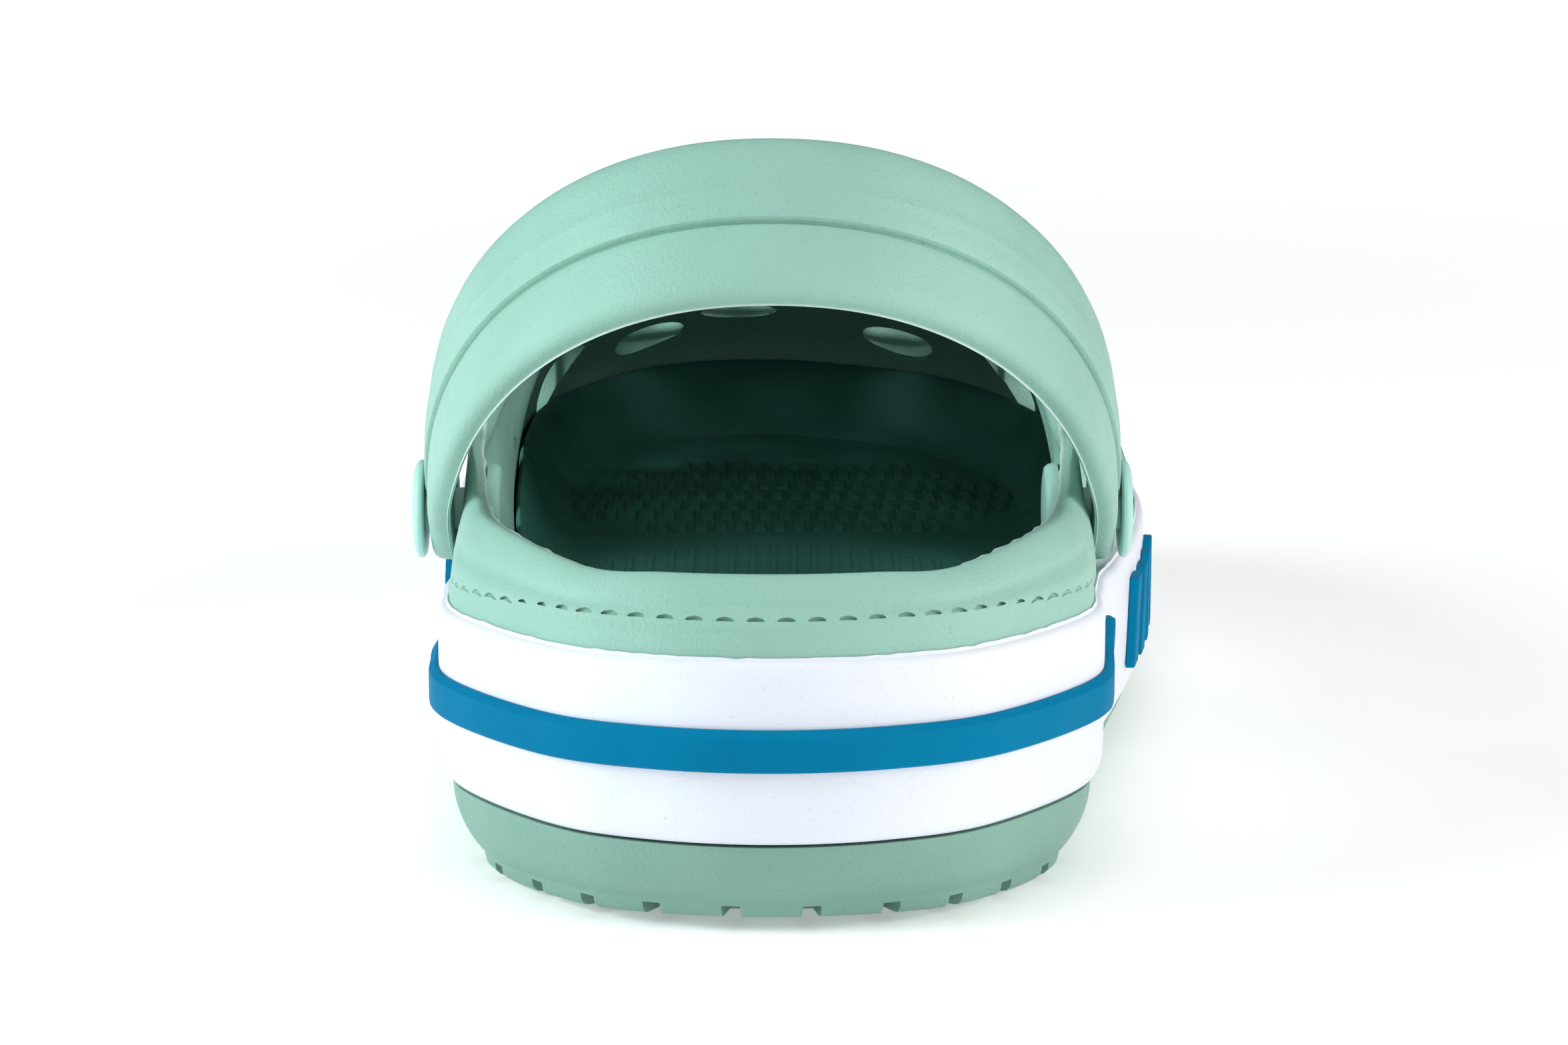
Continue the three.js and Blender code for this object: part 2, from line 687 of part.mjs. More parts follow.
// The origin is on the ground under the middle of the whole clog.
const bounds = new THREE.Box3().setFromObject(clog);
const middle = bounds.getCenter(new THREE.Vector3());
clog.position.set(-middle.x, -middle.y, 0);

export default clog;
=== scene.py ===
# %% [markdown]
# # A foam garden clog
# The clog is a handful of foam mouldings: a sole, a white band round it, an upper with holes over
# the toes, a dark footbed, raised blue trim and a strap on two press rivets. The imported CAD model
# is loaded first. It fixes every size and place, and each plain solid is then replaced by a finely
# modelled piece that rides on the same body.
# %% Load the frame
import json
import math
import bpy
import numpy as np
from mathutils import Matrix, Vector
from mathutils.kdtree import KDTree


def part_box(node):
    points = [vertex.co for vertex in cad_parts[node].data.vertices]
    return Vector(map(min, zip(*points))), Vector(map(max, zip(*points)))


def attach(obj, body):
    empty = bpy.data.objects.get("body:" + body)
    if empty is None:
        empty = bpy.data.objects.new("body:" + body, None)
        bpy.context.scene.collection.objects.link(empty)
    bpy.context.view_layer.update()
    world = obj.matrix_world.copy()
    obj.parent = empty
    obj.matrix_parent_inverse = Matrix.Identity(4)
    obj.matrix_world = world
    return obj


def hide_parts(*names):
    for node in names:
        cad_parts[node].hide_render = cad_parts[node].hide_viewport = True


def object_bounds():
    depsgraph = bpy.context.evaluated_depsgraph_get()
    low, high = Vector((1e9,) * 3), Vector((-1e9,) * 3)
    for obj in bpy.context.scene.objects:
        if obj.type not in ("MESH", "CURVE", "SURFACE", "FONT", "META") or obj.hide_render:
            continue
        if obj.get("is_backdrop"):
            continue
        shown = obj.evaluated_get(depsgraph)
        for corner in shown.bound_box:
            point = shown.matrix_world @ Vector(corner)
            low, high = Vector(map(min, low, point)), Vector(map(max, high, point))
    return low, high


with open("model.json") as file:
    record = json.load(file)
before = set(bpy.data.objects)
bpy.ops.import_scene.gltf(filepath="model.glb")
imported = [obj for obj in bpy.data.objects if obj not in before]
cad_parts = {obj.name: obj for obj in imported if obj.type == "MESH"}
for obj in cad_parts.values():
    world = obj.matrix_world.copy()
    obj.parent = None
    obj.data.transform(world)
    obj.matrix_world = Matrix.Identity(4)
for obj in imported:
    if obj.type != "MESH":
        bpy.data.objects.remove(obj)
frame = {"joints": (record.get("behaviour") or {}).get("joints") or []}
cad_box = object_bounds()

band_low, band_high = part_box("midsole_band")
strap_low, strap_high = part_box("heel_strap")
LENGTH = 1000 * (band_high.y - band_low.y)
ORIGIN = np.array([(strap_low.x + strap_high.x) / 2, band_low.y, 0.0])
pivot_y, pivot_z = (1000 * (frame["joints"][0]["pos_m"][i] - ORIGIN[i]) for i in (1, 2))
print(f"clog {LENGTH:.0f} mm long, strap pivot {pivot_y:.1f} mm from the heel, {pivot_z:.1f} mm up")

# %% [markdown]
# ## Working in a shoemaker's units
# A shoe is drawn in millimetres from the back of the heel. Every shape below is worked out in
# those units, `x` to the outer side, `y` towards the toe and `z` up, and `placed` turns it into
# metres in the frame. Pieces that leave a small gap to what they are glued on use `GLUE`.
# %% Sizes that the pieces share
HEEL_HALF = 45
HEEL_DEPTH = 48
BALL_OUTER = 58.5
BALL_INNER = 51
TOE_X = -8
BAND_THICK = 5
CORE_TOP = 18
GLUE = 0.3
UPPER_INSET = 1.5
SKIRT = 3.7
SEAT_HALF = 44.8
SEAT_SPREAD = 0.004
THROAT_TOP = 80
THROAT_Y = 128
EAR_TOP = 56
RIM_SIDE = 43.5
RIM_BACK = 46


def placed(points):
    return np.asarray(points, float) * 0.001 + ORIGIN


def smooth(x, low, high):
    u = np.clip((np.asarray(x, float) - low) / (high - low), 0, 1)
    return u * u * (3 - 2 * u)


def mix(a, b, share):
    return a + (b - a) * share


# %% [markdown]
# ## The plan of the shoe
# A last, the form a shoe is built on, has no straight lines, so the plan is a smooth closed curve
# through a few points. Each row of `ROWS` ties a point of the sole's outline to the point of the
# foot opening above it, with the length of wall that rises straight before it leans over. A
# Catmull-Rom curve passes through all its points, which is why it is used here and not a Bezier.
# %% The outline and the foot opening
def heel_arc(degrees):
    a = math.radians(degrees)
    return HEEL_HALF * math.sin(a), HEEL_DEPTH * (1 - math.cos(a))


COLLAR_IN = 6.5
SIDE = HEEL_HALF - COLLAR_IN
OUTER_ROWS = [
    [0, 0, 0, 8, RIM_BACK, 5],
    [*heel_arc(20), 12.5, 9.9, RIM_BACK - 0.1, 5],
    [*heel_arc(40), 22.5, 15.5, RIM_BACK - 0.5, 5],
    [*heel_arc(70), SIDE - 4, 33, RIM_SIDE + 4, 5.5],
    [HEEL_HALF, HEEL_DEPTH + 4, SIDE, 56, RIM_SIDE + 3.5, 6],
    [HEEL_HALF + 2.2, 0.296 * LENGTH, SIDE + 1.8, 77, RIM_SIDE + 4.5, 8],
    [HEEL_HALF + 5.8, 0.384 * LENGTH, SIDE + 2.1, 86, EAR_TOP, 11],
    [BALL_OUTER - 2.2, 0.52 * LENGTH, 32, 102, EAR_TOP + 11, 7],
    [BALL_OUTER, 0.66 * LENGTH, 22, 116, THROAT_TOP - 6, 12],
    [BALL_OUTER - 5.5, 0.82 * LENGTH, 12, 124, THROAT_TOP - 1.5, 17],
    [0.64 * BALL_OUTER, 0.936 * LENGTH, 4, THROAT_Y - 1, THROAT_TOP - 0.5, 17],
    [14, 0.988 * LENGTH, 0.5, THROAT_Y, THROAT_TOP, 17],
]
INNER_ROWS = [
    [-0.6 * BALL_INNER, 0.964 * LENGTH, -8, THROAT_Y - 1, THROAT_TOP - 0.5, 17],
    [3.5 - BALL_INNER, 0.856 * LENGTH, -17, 122, THROAT_TOP - 2, 17],
    [-BALL_INNER, 0.71 * LENGTH, -24, 114, THROAT_TOP - 7, 13],
    [1.5 - BALL_INNER, 0.56 * LENGTH, -32, 102, EAR_TOP + 11, 7],
    [-HEEL_HALF - 1.6, 0.388 * LENGTH, -SIDE - 2.1, 86, EAR_TOP, 11],
    [-HEEL_HALF - 0.6, 0.296 * LENGTH, -SIDE - 1.8, 77, RIM_SIDE + 4.5, 8],
]
HEEL_ROWS = [[-r[0], r[1], -r[2], *r[3:]] for r in OUTER_ROWS[4:0:-1]]
TOE_ROW = [TOE_X, LENGTH, -3, THROAT_Y, THROAT_TOP, 17]
ROWS = np.array(OUTER_ROWS + [TOE_ROW] + INNER_ROWS + HEEL_ROWS, float)
TOE_T = len(OUTER_ROWS) / len(ROWS)


def on_curve(columns, t):
    """Points of the closed smooth curve through some columns of ROWS."""
    points = ROWS[:, columns]
    n = len(points)
    q = np.mod(t, 1.0) * n
    i = np.floor(q).astype(int)
    w = (q - i)[:, None]
    a, b, c, d = (points[(i + k) % n] for k in (-1, 0, 1, 2))
    start, end = (c - a) / 2, (d - b) / 2
    cubic = (2 * b - 2 * c + start + end) * w**3
    return cubic + (3 * c - 3 * b - 2 * start - end) * w**2 + start * w + b


def outline(t):
    return on_curve([0, 1], t)


def side_t(y, side):
    """Parameters where one side of the outline passes the distances y from the heel."""
    t = np.linspace(0, TOE_T, 4000) if side > 0 else np.linspace(1, TOE_T, 4000)
    return np.interp(y, outline(t)[:, 1], t)


def inside(t, inset, z=0.0):
    """Outline points moved inwards, at height z."""
    step = 1e-4
    along = outline(t + step) - outline(t - step)
    along /= np.linalg.norm(along, axis=1)[:, None]
    p = outline(t) + np.stack([-along[:, 1], along[:, 0]], 1) * np.reshape(inset, (-1, 1))
    return np.column_stack([p, np.broadcast_to(z, len(p))])


STATIONS_PER_SIDE = 150
angles = np.linspace(0, math.pi, STATIONS_PER_SIDE + 2)
station_y = LENGTH * (1 - np.cos(angles)) / 2
outer_t = side_t(station_y, 1)
inner_t = side_t(station_y, -1)
T = np.concatenate([[0], outer_t[1:-1], [TOE_T], inner_t[-2:0:-1], [1]])
print(f"{len(T)} stations round the sole")


# %% [markdown]
# Heights that change along the shoe, such as the band's two edges, are smooth lines too. Each is
# given at a few distances from the heel and runs level through its highest and lowest points.
# %% Height lines
def height_line(points):
    ys, zs = np.array(points, float).T
    slope = np.gradient(zs, ys)
    for k in range(1, len(ys) - 1):
        slope[k] = (zs[k + 1] - zs[k - 1]) / (ys[k + 1] - ys[k - 1])

    def at(y):
        q = np.clip(y, ys[0], ys[-1])
        i = np.clip(np.searchsorted(ys, q) - 1, 0, len(ys) - 2)
        span = ys[i + 1] - ys[i]
        u = (q - ys[i]) / span
        v = 1 - u
        bend = slope[i] * span * u * v * v - slope[i + 1] * span * u * u * v
        return zs[i] * v * v * (1 + 2 * u) + zs[i + 1] * u * u * (1 + 2 * v) + bend

    return at


band_bottom = height_line(
    [(0, 12.4), (50, 11.7), (91, 8.2), (125, 6.8), (170, 7.6), (215, 11.4), (LENGTH, 16.5)]
)
band_top = height_line(
    [(0, 36), (50, 35), (91, 30.9), (125, 29.4), (180, 29.6), (225, 33), (LENGTH, 35.5)]
)


HEEL_LIFT, HEEL_LIFT_END = 2.4, 40
TOE_LIFT, TOE_LIFT_START = 10, 175


def sole_bottom(y):
    heel = HEEL_LIFT * np.clip(1 - np.asarray(y) / HEEL_LIFT_END, 0, 1) ** 2
    toe = np.clip((np.asarray(y) - TOE_LIFT_START) / (LENGTH - TOE_LIFT_START), 0, 1) ** 2
    return heel + TOE_LIFT * toe


# %% [markdown]
# ## Helpers for modelling
# Operators act on whatever is selected, so each helper starts from an empty selection. `skin` is
# the way a moulded skin is made: a grid is added with its own UV map, its points are laid on the
# shape row by row, and the edges that meet are merged. The UV map then runs round the piece and up
# it, which a material can follow.
# %% Helpers
def only(*pieces):
    bpy.ops.object.select_all(action="DESELECT")
    for piece in pieces:
        piece.select_set(True)
    bpy.context.view_layer.objects.active = pieces[0]
    return pieces[0]


def edit(piece, *steps):
    """Runs mesh operators on all of a piece, each given as (operator name, settings)."""
    only(piece)
    bpy.ops.object.mode_set(mode="EDIT")
    bpy.ops.mesh.select_all(action="SELECT")
    for operator, settings in steps:
        getattr(bpy.ops.mesh, operator)(**settings)
    bpy.ops.object.mode_set(mode="OBJECT")
    return piece


def close_up(piece, gap=2e-6):
    return edit(
        piece,
        ("remove_doubles", dict(threshold=gap)),
        ("normals_make_consistent", dict(inside=False)),
    )


def skin(name, points):
    """Grid primitive laid onto points[row, column] in millimetres, with its seams merged."""
    rows, columns = points.shape[:2]
    bpy.ops.object.select_all(action="DESELECT")
    bpy.ops.mesh.primitive_grid_add(x_subdivisions=columns - 1, y_subdivisions=rows - 1, size=1)
    piece = bpy.context.active_object
    piece.name = piece.data.name = name
    piece.data.vertices.foreach_set("co", placed(points).astype(np.float32).ravel())
    piece.data.update()
    return close_up(piece)


def modify(piece, kind, **settings):
    """Adds one modifier, sets it and applies it."""
    only(piece)
    modifier = piece.modifiers.new(kind.title(), kind)
    for key, value in settings.items():
        setattr(modifier, key, value)
    bpy.ops.object.modifier_apply(modifier=modifier.name)
    return piece


def round_edges(piece, width, segments=3, angle=30):
    return modify(
        piece,
        "BEVEL",
        width=width / 1000,
        segments=segments,
        limit_method="ANGLE",
        angle_limit=math.radians(angle),
        harden_normals=False,
    )


def carve(piece, cutters, crossing=False):
    """Cuts the joined cutters out of a piece and removes them. Cutters may cross each other."""
    only(*cutters)
    if len(cutters) > 1:
        bpy.ops.object.join()
    before = len(piece.data.polygons)
    settings = dict(operation="DIFFERENCE", solver="EXACT", use_self=crossing)
    modify(piece, "BOOLEAN", object=cutters[0], **settings)
    bpy.data.objects.remove(cutters[0])
    after = len(piece.data.polygons)
    if after < before / 2:
        raise RuntimeError(f"a cut has emptied {piece.name}")
    return piece


def soften(piece, degrees=35):
    """Merges points that cuts and bevels have left on top of each other, and shades smoothly."""
    edit(piece, ("remove_doubles", dict(threshold=1e-5)))
    only(piece)
    bpy.ops.object.shade_smooth_by_angle(angle=math.radians(degrees))
    return piece


def mark_flash(piece, points, reach):
    """Sets the attribute "flash" to 1 on the points of a piece that lie on a line of points."""
    tree = KDTree(len(points))
    for i, p in enumerate(placed(points)):
        tree.insert(p, i)
    tree.balance()
    near = [tree.find(v.co)[2] < reach / 1000 for v in piece.data.vertices]
    attribute = piece.data.attributes.new("flash", "FLOAT", "POINT")
    attribute.data.foreach_set("value", np.array(near, np.float32))


def finish_piece(piece, body, slot, *nodes):
    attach(piece, body)
    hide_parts(*nodes)
    print(f"{piece.name}: {len(piece.data.polygons)} faces")


# %% [markdown]
# ## Materials
# Foam mouldings look alive through small things: a fine pebble grain from the mould, slow changes
# of tone, and thin flash on edges painted lighter, as painted light shining through it. `foam`
# builds that once, from noise in object coordinates and a flash attribute, and every finish below
# sets its own colours and grain.
# %% The foam material
def add(tree, kind, **inputs):
    node = tree.nodes.new(kind)
    for key, value in inputs.items():
        node.inputs[key.replace("_", " ")].default_value = value
    return node


def noise(tree, vector, scale, detail=2.0, rough=0.5):
    node = add(tree, "ShaderNodeTexNoise", Scale=scale, Detail=detail, Roughness=rough)
    tree.links.new(vector, node.inputs["Vector"])
    return node.outputs["Fac"]


def ramp(tree, value, low, high, a=0.0, b=1.0):
    """Maps a value between two limits to a and b, smoothly."""
    node = tree.nodes.new("ShaderNodeMapRange")
    node.interpolation_type = "SMOOTHSTEP"
    for key, number in zip(("From Min", "From Max", "To Min", "To Max"), (low, high, a, b)):
        node.inputs[key].default_value = number
    tree.links.new(value, node.inputs["Value"])
    return node.outputs["Result"]


def blend_colour(tree, share, a, b):
    node = tree.nodes.new("ShaderNodeMix")
    node.data_type = "RGBA"
    tree.links.new(share, node.inputs[0])
    for socket, colour in ((node.inputs[6], a), (node.inputs[7], b)):
        if isinstance(colour, tuple):
            socket.default_value = (*colour, 1)
        else:
            tree.links.new(colour, socket)
    return node.outputs[2]


def raise_bump(tree, height, distance, strength, under=None):
    node = add(tree, "ShaderNodeBump", Distance=distance, Strength=strength)
    tree.links.new(height, node.inputs["Height"])
    if under is not None:
        tree.links.new(under, node.inputs["Normal"])
    return node.outputs["Normal"]


def foam(name, dark, light, roughness, grain_mm=0.5, grain_height=0.16, tone_mm=45, shine=0.2):
    """Moulded foam: slow change of tone, pebble grain and a slightly uneven gloss.

    Where a piece's own attribute "flash" is 1, the foam is painted lighter: painted light shining
    through its thin moulding flash.
    """
    flash_glow = tuple(1 - 0.45 * (1 - c) for c in light)
    material = bpy.data.materials.new(name)
    material.use_nodes = True
    tree = material.node_tree
    shader = tree.nodes["Principled BSDF"]
    shader.inputs["Specular IOR Level"].default_value = shine
    where = tree.nodes.new("ShaderNodeTexCoord").outputs["Object"]
    tone = ramp(tree, noise(tree, where, 1000 / tone_mm, 3), 0.3, 0.7)
    colour = blend_colour(tree, tone, dark, light)
    grain = noise(tree, where, 1000 / grain_mm, 4, 0.6)
    pores = ramp(tree, grain, 0.25, 0.42, 0.35, 0.0)
    colour = blend_colour(tree, pores, colour, tuple(0.6 * c for c in dark))
    gloss = ramp(tree, noise(tree, where, 160, 4), 0.3, 0.7, roughness - 0.07, roughness + 0.07)
    # The flash is painted lighter: painted light shining through the thin foam.
    flash = tree.nodes.new("ShaderNodeAttribute")
    flash.attribute_name = "flash"
    colour = blend_colour(tree, flash.outputs["Fac"], colour, flash_glow)
    swell = raise_bump(tree, noise(tree, where, 90, 2), 0.0004, 0.35)
    pebble = raise_bump(tree, grain, grain_height / 1000, 0.9, swell)
    tree.links.new(colour, shader.inputs["Base Color"])
    tree.links.new(gloss, shader.inputs["Roughness"])
    tree.links.new(pebble, shader.inputs["Normal"])
    return material


def paint(piece, *materials):
    piece.data.materials.clear()
    for material in materials:
        piece.data.materials.append(material)
    return piece


GREEN = foam("green_foam", (0.26, 0.47, 0.395), (0.30, 0.53, 0.45), 0.46)
# The sole is a little darker than the upper.
SOLE = foam("sole_foam", (0.19, 0.345, 0.285), (0.225, 0.40, 0.33), 0.5)
BLUE = foam("blue_trim", (0.0, 0.15, 0.29), (0.0, 0.18, 0.345), 0.6, grain_height=0.08, shine=0.04)
# The footbed's dark colour is partly its own and partly painted shade of the deep inside of the
# shoe.
FOOTBED_DARK_AND_SHADE = foam("footbed_foam", (0.032, 0.125, 0.104), (0.045, 0.16, 0.135), 0.5, shine=0.12)
MINT = foam("rivet_plastic", (0.38, 0.66, 0.59), (0.43, 0.72, 0.65), 0.35, grain_height=0.02)
WHITE = foam("white_band", (0.71, 0.735, 0.81), (0.785, 0.81, 0.88), 0.42, grain_height=0.02)

# %% [markdown]
# ## The outsole
# The green sole bulges out below the band and ends in a lugged tread. Its skin goes from the seat
# of the footbed down the hidden core, out under the band, round the bulge and in under the foot to
# a line along the middle. The tread's grooves are cut as on the mould: short ones across the edge,
# which part it into lugs, and long zigzag ones across the foot.
# %% Outsole skin
def ring(inset, height):
    """Points round the sole at an inset, at a height that may depend on y."""
    p = inside(T, inset)
    p[:, 2] = height(p[:, 1]) if callable(height) else height
    return p


def spine(share, height, inset):
    """A ring drawn in towards the line along the middle of the sole."""
    p = ring(inset, 0)
    middle = (p + p[::-1]) / 2
    p = mix(p, middle, share)
    p[:, 2] = height(p[:, 1])
    return p


def under_band(y):
    return band_bottom(y) - GLUE


def bulge(share):
    """One ring of the outsole's side: share runs from the band down to the tread."""
    def height(y):
        return mix(under_band(y), sole_bottom(y) + 1.5, share)

    return ring(1.7 + 4.6 * share**2.2, height)


core = BAND_THICK + GLUE
rows = [spine(1, lambda y: np.full_like(y, CORE_TOP), core + 1)]
rows += [ring(core + 1, CORE_TOP), ring(core, CORE_TOP - 0.8), ring(core, under_band)]
rows += [ring(2.6, under_band)]
rows += [bulge(s) for s in np.linspace(0.0, 0.84, 12)]
rows += [bulge(0.9) + [0, 0, 0.15], bulge(0.93)]
rows += [ring(5.9, lambda y: sole_bottom(y) + 0.8), ring(6.6, lambda y: sole_bottom(y) + 0.15)]
rows += [ring(7.4, sole_bottom)]
rows += [spine(s, sole_bottom, 7.4) for s in np.linspace(0.1, 1, 9)]
outsole = skin("outsole_foam", np.array(rows))

# %% [markdown]
# A groove cutter is a cube stretched to a bar. Each stands across the edge of the sole, square to
# its outline, and the whole set is joined and cut in one Boolean.
# %% Tread grooves
LUG_PITCH = 12
GROOVE = 2.4
TREAD_DEPTH = 1.9


def bar(centre, size, turn=0.0):
    """A cube stretched to size at a centre, both in millimetres, turned about the vertical."""
    x, y, z = placed(centre)
    bpy.ops.mesh.primitive_cube_add(size=1, location=(x, y, z), rotation=(0, 0, turn))
    cube = bpy.context.active_object
    cube.scale = [s / 1000 for s in size]
    bpy.ops.object.transform_apply(location=True, rotation=True, scale=True)
    return cube


def equal_steps(count):
    """Curve parameters that part the outline into equal lengths."""
    t = np.linspace(0, 1, 2000)
    gaps = np.linalg.norm(np.diff(outline(t), axis=0), axis=1)
    length = np.concatenate([[0], np.cumsum(gaps)])
    return np.interp((np.arange(count) + 0.5) / count * length[-1], length, t), length[-1]


lugs = round(equal_steps(1)[1] / LUG_PITCH)
cutters = []
for t in equal_steps(lugs)[0]:
    (a, b) = inside(np.array([t - 1e-3, t + 1e-3]), 8.5)
    centre = (a + b) / 2
    turn = math.atan2(b[1] - a[1], b[0] - a[0]) + math.pi / 2
    centre[2] = sole_bottom(centre[1])
    cutters.append(bar(centre, (9, GROOVE, 2 * TREAD_DEPTH), turn))
EDGE_LAND = 13
for row in range(17):
    y = 24 + 12.4 * row
    left, right = outline(side_t([y, y], 1))[0][0], outline(side_t([y, y], -1))[0][0]
    low, high = right + EDGE_LAND + 6, left - EDGE_LAND - 6
    count = max(2, round((high - low) / 11))
    xs = np.linspace(low, high, count + 1)
    for k in range(count):
        zig = 2.6 if k % 2 else -2.6
        middle = ((xs[k] + xs[k + 1]) / 2, y, float(sole_bottom(y)))
        span = xs[1] - xs[0]
        size = (math.hypot(span, 2 * zig) + 1.2, GROOVE, 2 * TREAD_DEPTH)
        cutters.append(bar(middle, size, math.atan2(2 * zig, span)))
carve(outsole, cutters, crossing=True)
paint(soften(outsole, 40), SOLE)
finish_piece(outsole, "shoe", "green_foam", "outsole")

# %% [markdown]
# ## The white band
# The band is one moulding with rounded shoulders, a nearly upright body and a long soft curve
# under it. Where it meets the upper a thin, uneven lip of flash creeps up the green: a real
# moulding shows that, so the top ring is raised by a little uneven height.
# %% Band
def ripple(t, seed, size):
    """A smooth random line round the shoe, the same on every run."""
    rng = np.random.default_rng(seed)
    total = np.zeros_like(t)
    for k, phase in zip(rng.integers(20, 160, 14), rng.uniform(0, 2 * math.pi, 14)):
        total += np.sin(2 * math.pi * k * t + phase)
    return size * total / 5


def band_ring(inset, share, offset=0.0):
    return ring(inset, lambda y: mix(band_bottom(y), band_top(y), share) + offset)


flash = np.clip(0.45 + ripple(T, 3, 0.12), 0.32, 0.8)
rows = [band_ring(BAND_THICK, 0), band_ring(3.0, 0)]
for a in np.linspace(0, math.pi / 2, 7):
    rows.append(band_ring(0.15 + 2.1 * (1 - math.sin(a)), 0, 3.6 * (1 - math.cos(a))))
rows += [band_ring(0.15 * (1 - s), 0.16 + 0.2 * s) for s in (0.3, 0.7, 1)]
rows += [band_ring(0, s) for s in (0.5, 0.62, 0.74)]
for a in np.linspace(0, math.pi / 2, 7):
    rows.append(band_ring(1.1 * (1 - math.cos(a)), 1, 1.7 * (math.sin(a) - 1)))
lip = band_ring(1.22, 1)
lip[:, 2] += flash
rows.append(lip)
lip = band_ring(1.42, 1)
lip[:, 2] += 0.9 * flash
rows += [lip, band_ring(1.46, 1, -0.4), band_ring(BAND_THICK, 1, -0.4), band_ring(BAND_THICK, 0)]
band = skin("white_band", np.array(rows))
paint(soften(band, 50), WHITE)
finish_piece(band, "shoe", "white_band", "midsole_band")


# %% [markdown]
# ## Raised blue trim
# The stripe is drawn as a strip of small sections that follow the band, each with a flat face and
# bevelled edges. On the outer side its end narrows and sweeps up into a tip.
# %% Stripes
STRIPE_HEIGHT = 5.4
STRIPE_PROUD = 1.35
STRIPE_LEVEL = 0.53
SUNK = 0.05
TIP_RISE = 5


def stripe(name, t, swept, node):
    base, face = inside(t, -SUNK), inside(t, -STRIPE_PROUD)
    middle = mix(band_bottom(base[:, 1]), band_top(base[:, 1]), STRIPE_LEVEL) + TIP_RISE * swept
    half = STRIPE_HEIGHT / 2 * (1 - 0.45 * swept)
    ends = np.minimum(np.arange(len(t)), np.arange(len(t))[::-1])
    half = half * np.sqrt(np.clip(ends / 3 + 0.02, 0.02, 1))
    profile = [(-1, 0), (-1, 0.35), (-0.97, 0.72), (-0.85, 0.97), (-0.7, 1.0), (0.0, 1.0)]
    profile += [(0.62, 1.0), (0.72, 0.95), (0.95, 0.52), (1, 0.38), (1, 0)]
    rows = []
    for across, out in profile + profile[:1]:
        p = mix(base, face, out)
        p[:, 2] = middle + across * half
        rows.append(p)
    piece = skin(name, np.array(rows))
    edit(piece, ("fill_holes", dict(sides=0)), ("normals_make_consistent", dict(inside=False)))
    paint(soften(piece, 25), BLUE)
    finish_piece(piece, "shoe", "blue_trim", node)


STRIPE_START = 88
STRIPE_TIP = 62
TIP_LENGTH = 26
TOE_STRIPE_END = 182
t = np.linspace(side_t([STRIPE_START], -1)[0] - 1, side_t([STRIPE_TIP], 1)[0], 320)
ends_at = np.where(outline(t)[:, 0] > 0, outline(t)[:, 1], 0)
stripe("heel_stripe_trim", t, smooth(ends_at, STRIPE_TIP - TIP_LENGTH, STRIPE_TIP), "heel_stripe")
t = np.linspace(side_t([TOE_STRIPE_END], 1)[0], side_t([TOE_STRIPE_END], -1)[0], 320)
stripe("toe_stripe_trim", t, np.zeros_like(t), "toe_stripe")

# %% [markdown]
# The side of the band carries slanted bars. Each is a cube, cut across a few times so that it can
# follow the band's curve, moved onto the band and bevelled.
# %% Slanted bars
BAR_START, BAR_PITCH, BAR_WIDTH, BAR_SLANT = 106, 11, 6, 5
BAR_FOOT, BAR_HEIGHT = 0.24, 0.56


def trim_bar(index, side):
    bpy.ops.object.select_all(action="DESELECT")
    bpy.ops.mesh.primitive_cube_add(size=1)
    piece = bpy.context.active_object
    piece.name = piece.data.name = f"{'outer' if side > 0 else 'inner'}_bar_trim_{index + 1}"
    edit(piece, ("subdivide", dict(number_cuts=5)))
    points = np.array([v.co for v in piece.data.vertices]) + 0.5
    along, out, up = points.T
    y = BAR_START + index * BAR_PITCH
    low, high = band_bottom(y), band_top(y)
    at_y = y + BAR_SLANT * up + (along - 0.5) * BAR_WIDTH * (1 - 0.12 * out)
    on_band = inside(side_t(at_y, side), -SUNK - STRIPE_PROUD * out)
    on_band[:, 2] = mix(low, high, BAR_FOOT) + (high - low) * BAR_HEIGHT * up
    piece.data.vertices.foreach_set("co", placed(on_band).astype(np.float32).ravel())
    edit(piece, ("normals_make_consistent", dict(inside=False)))
    round_edges(piece, 0.5, 3, 40)
    paint(soften(piece, 30), BLUE)
    finish_piece(piece, "shoe", "blue_trim", piece.name.replace("_trim", ""))


for side in (1, -1):
    for index in range(4):
        trim_bar(index, side)

# %% [markdown]
# ## The upper
# The upper is a shell. For each station round the sole one curve climbs from the band and leans
# over the foot to the opening, and a second one comes down inside. A half-round lip joins them,
# with the thin line of flash that the mould's parting leaves on its crest. The CAD's wall curves
# are cubic Beziers, and the same are used here at a finer step.
# %% Wall curves
def wall_foot(t):
    p = inside(t, UPPER_INSET)
    beyond = np.clip(np.abs(p[:, 1] - pivot_y) - 10, 0, None)
    limit = SEAT_HALF + SEAT_SPREAD * beyond**2
    p[:, 0] = np.clip(p[:, 0], -limit, limit)
    p[:, 2] = band_top(p[:, 1]) + GLUE
    return p


def unit(v):
    return v / np.linalg.norm(v, axis=-1, keepdims=True)


def flat(v):
    return v * [1, 1, 0]


LIP = 3.2
WALL_LEAST = 3
FOOT = wall_foot(T)
RIM = on_curve([2, 3, 4], T)
UPRIGHT = on_curve([5], T)[:, 0]
OVER = flat(FOOT - RIM)
REACH = np.linalg.norm(OVER, axis=1)
KNEE = RIM + OVER * (0.5 + (REACH - 8) / 112 * (0.42 - 0.5))[:, None]
KNEE[:, 2] -= 0.16 * np.clip(REACH - 8, 0, None)
along_rim = unit(on_curve([2, 3, 4], T + 1e-4) - on_curve([2, 3, 4], T - 1e-4))
falling = unit(np.column_stack([OVER[:, :2] * 0.45, -0.16 * np.clip(REACH - 8, 0, None)]))
INWARD = unit(np.cross(along_rim, falling))
INWARD = np.where(INWARD[:, 2:] > 0, -INWARD, INWARD)
TIP = -falling


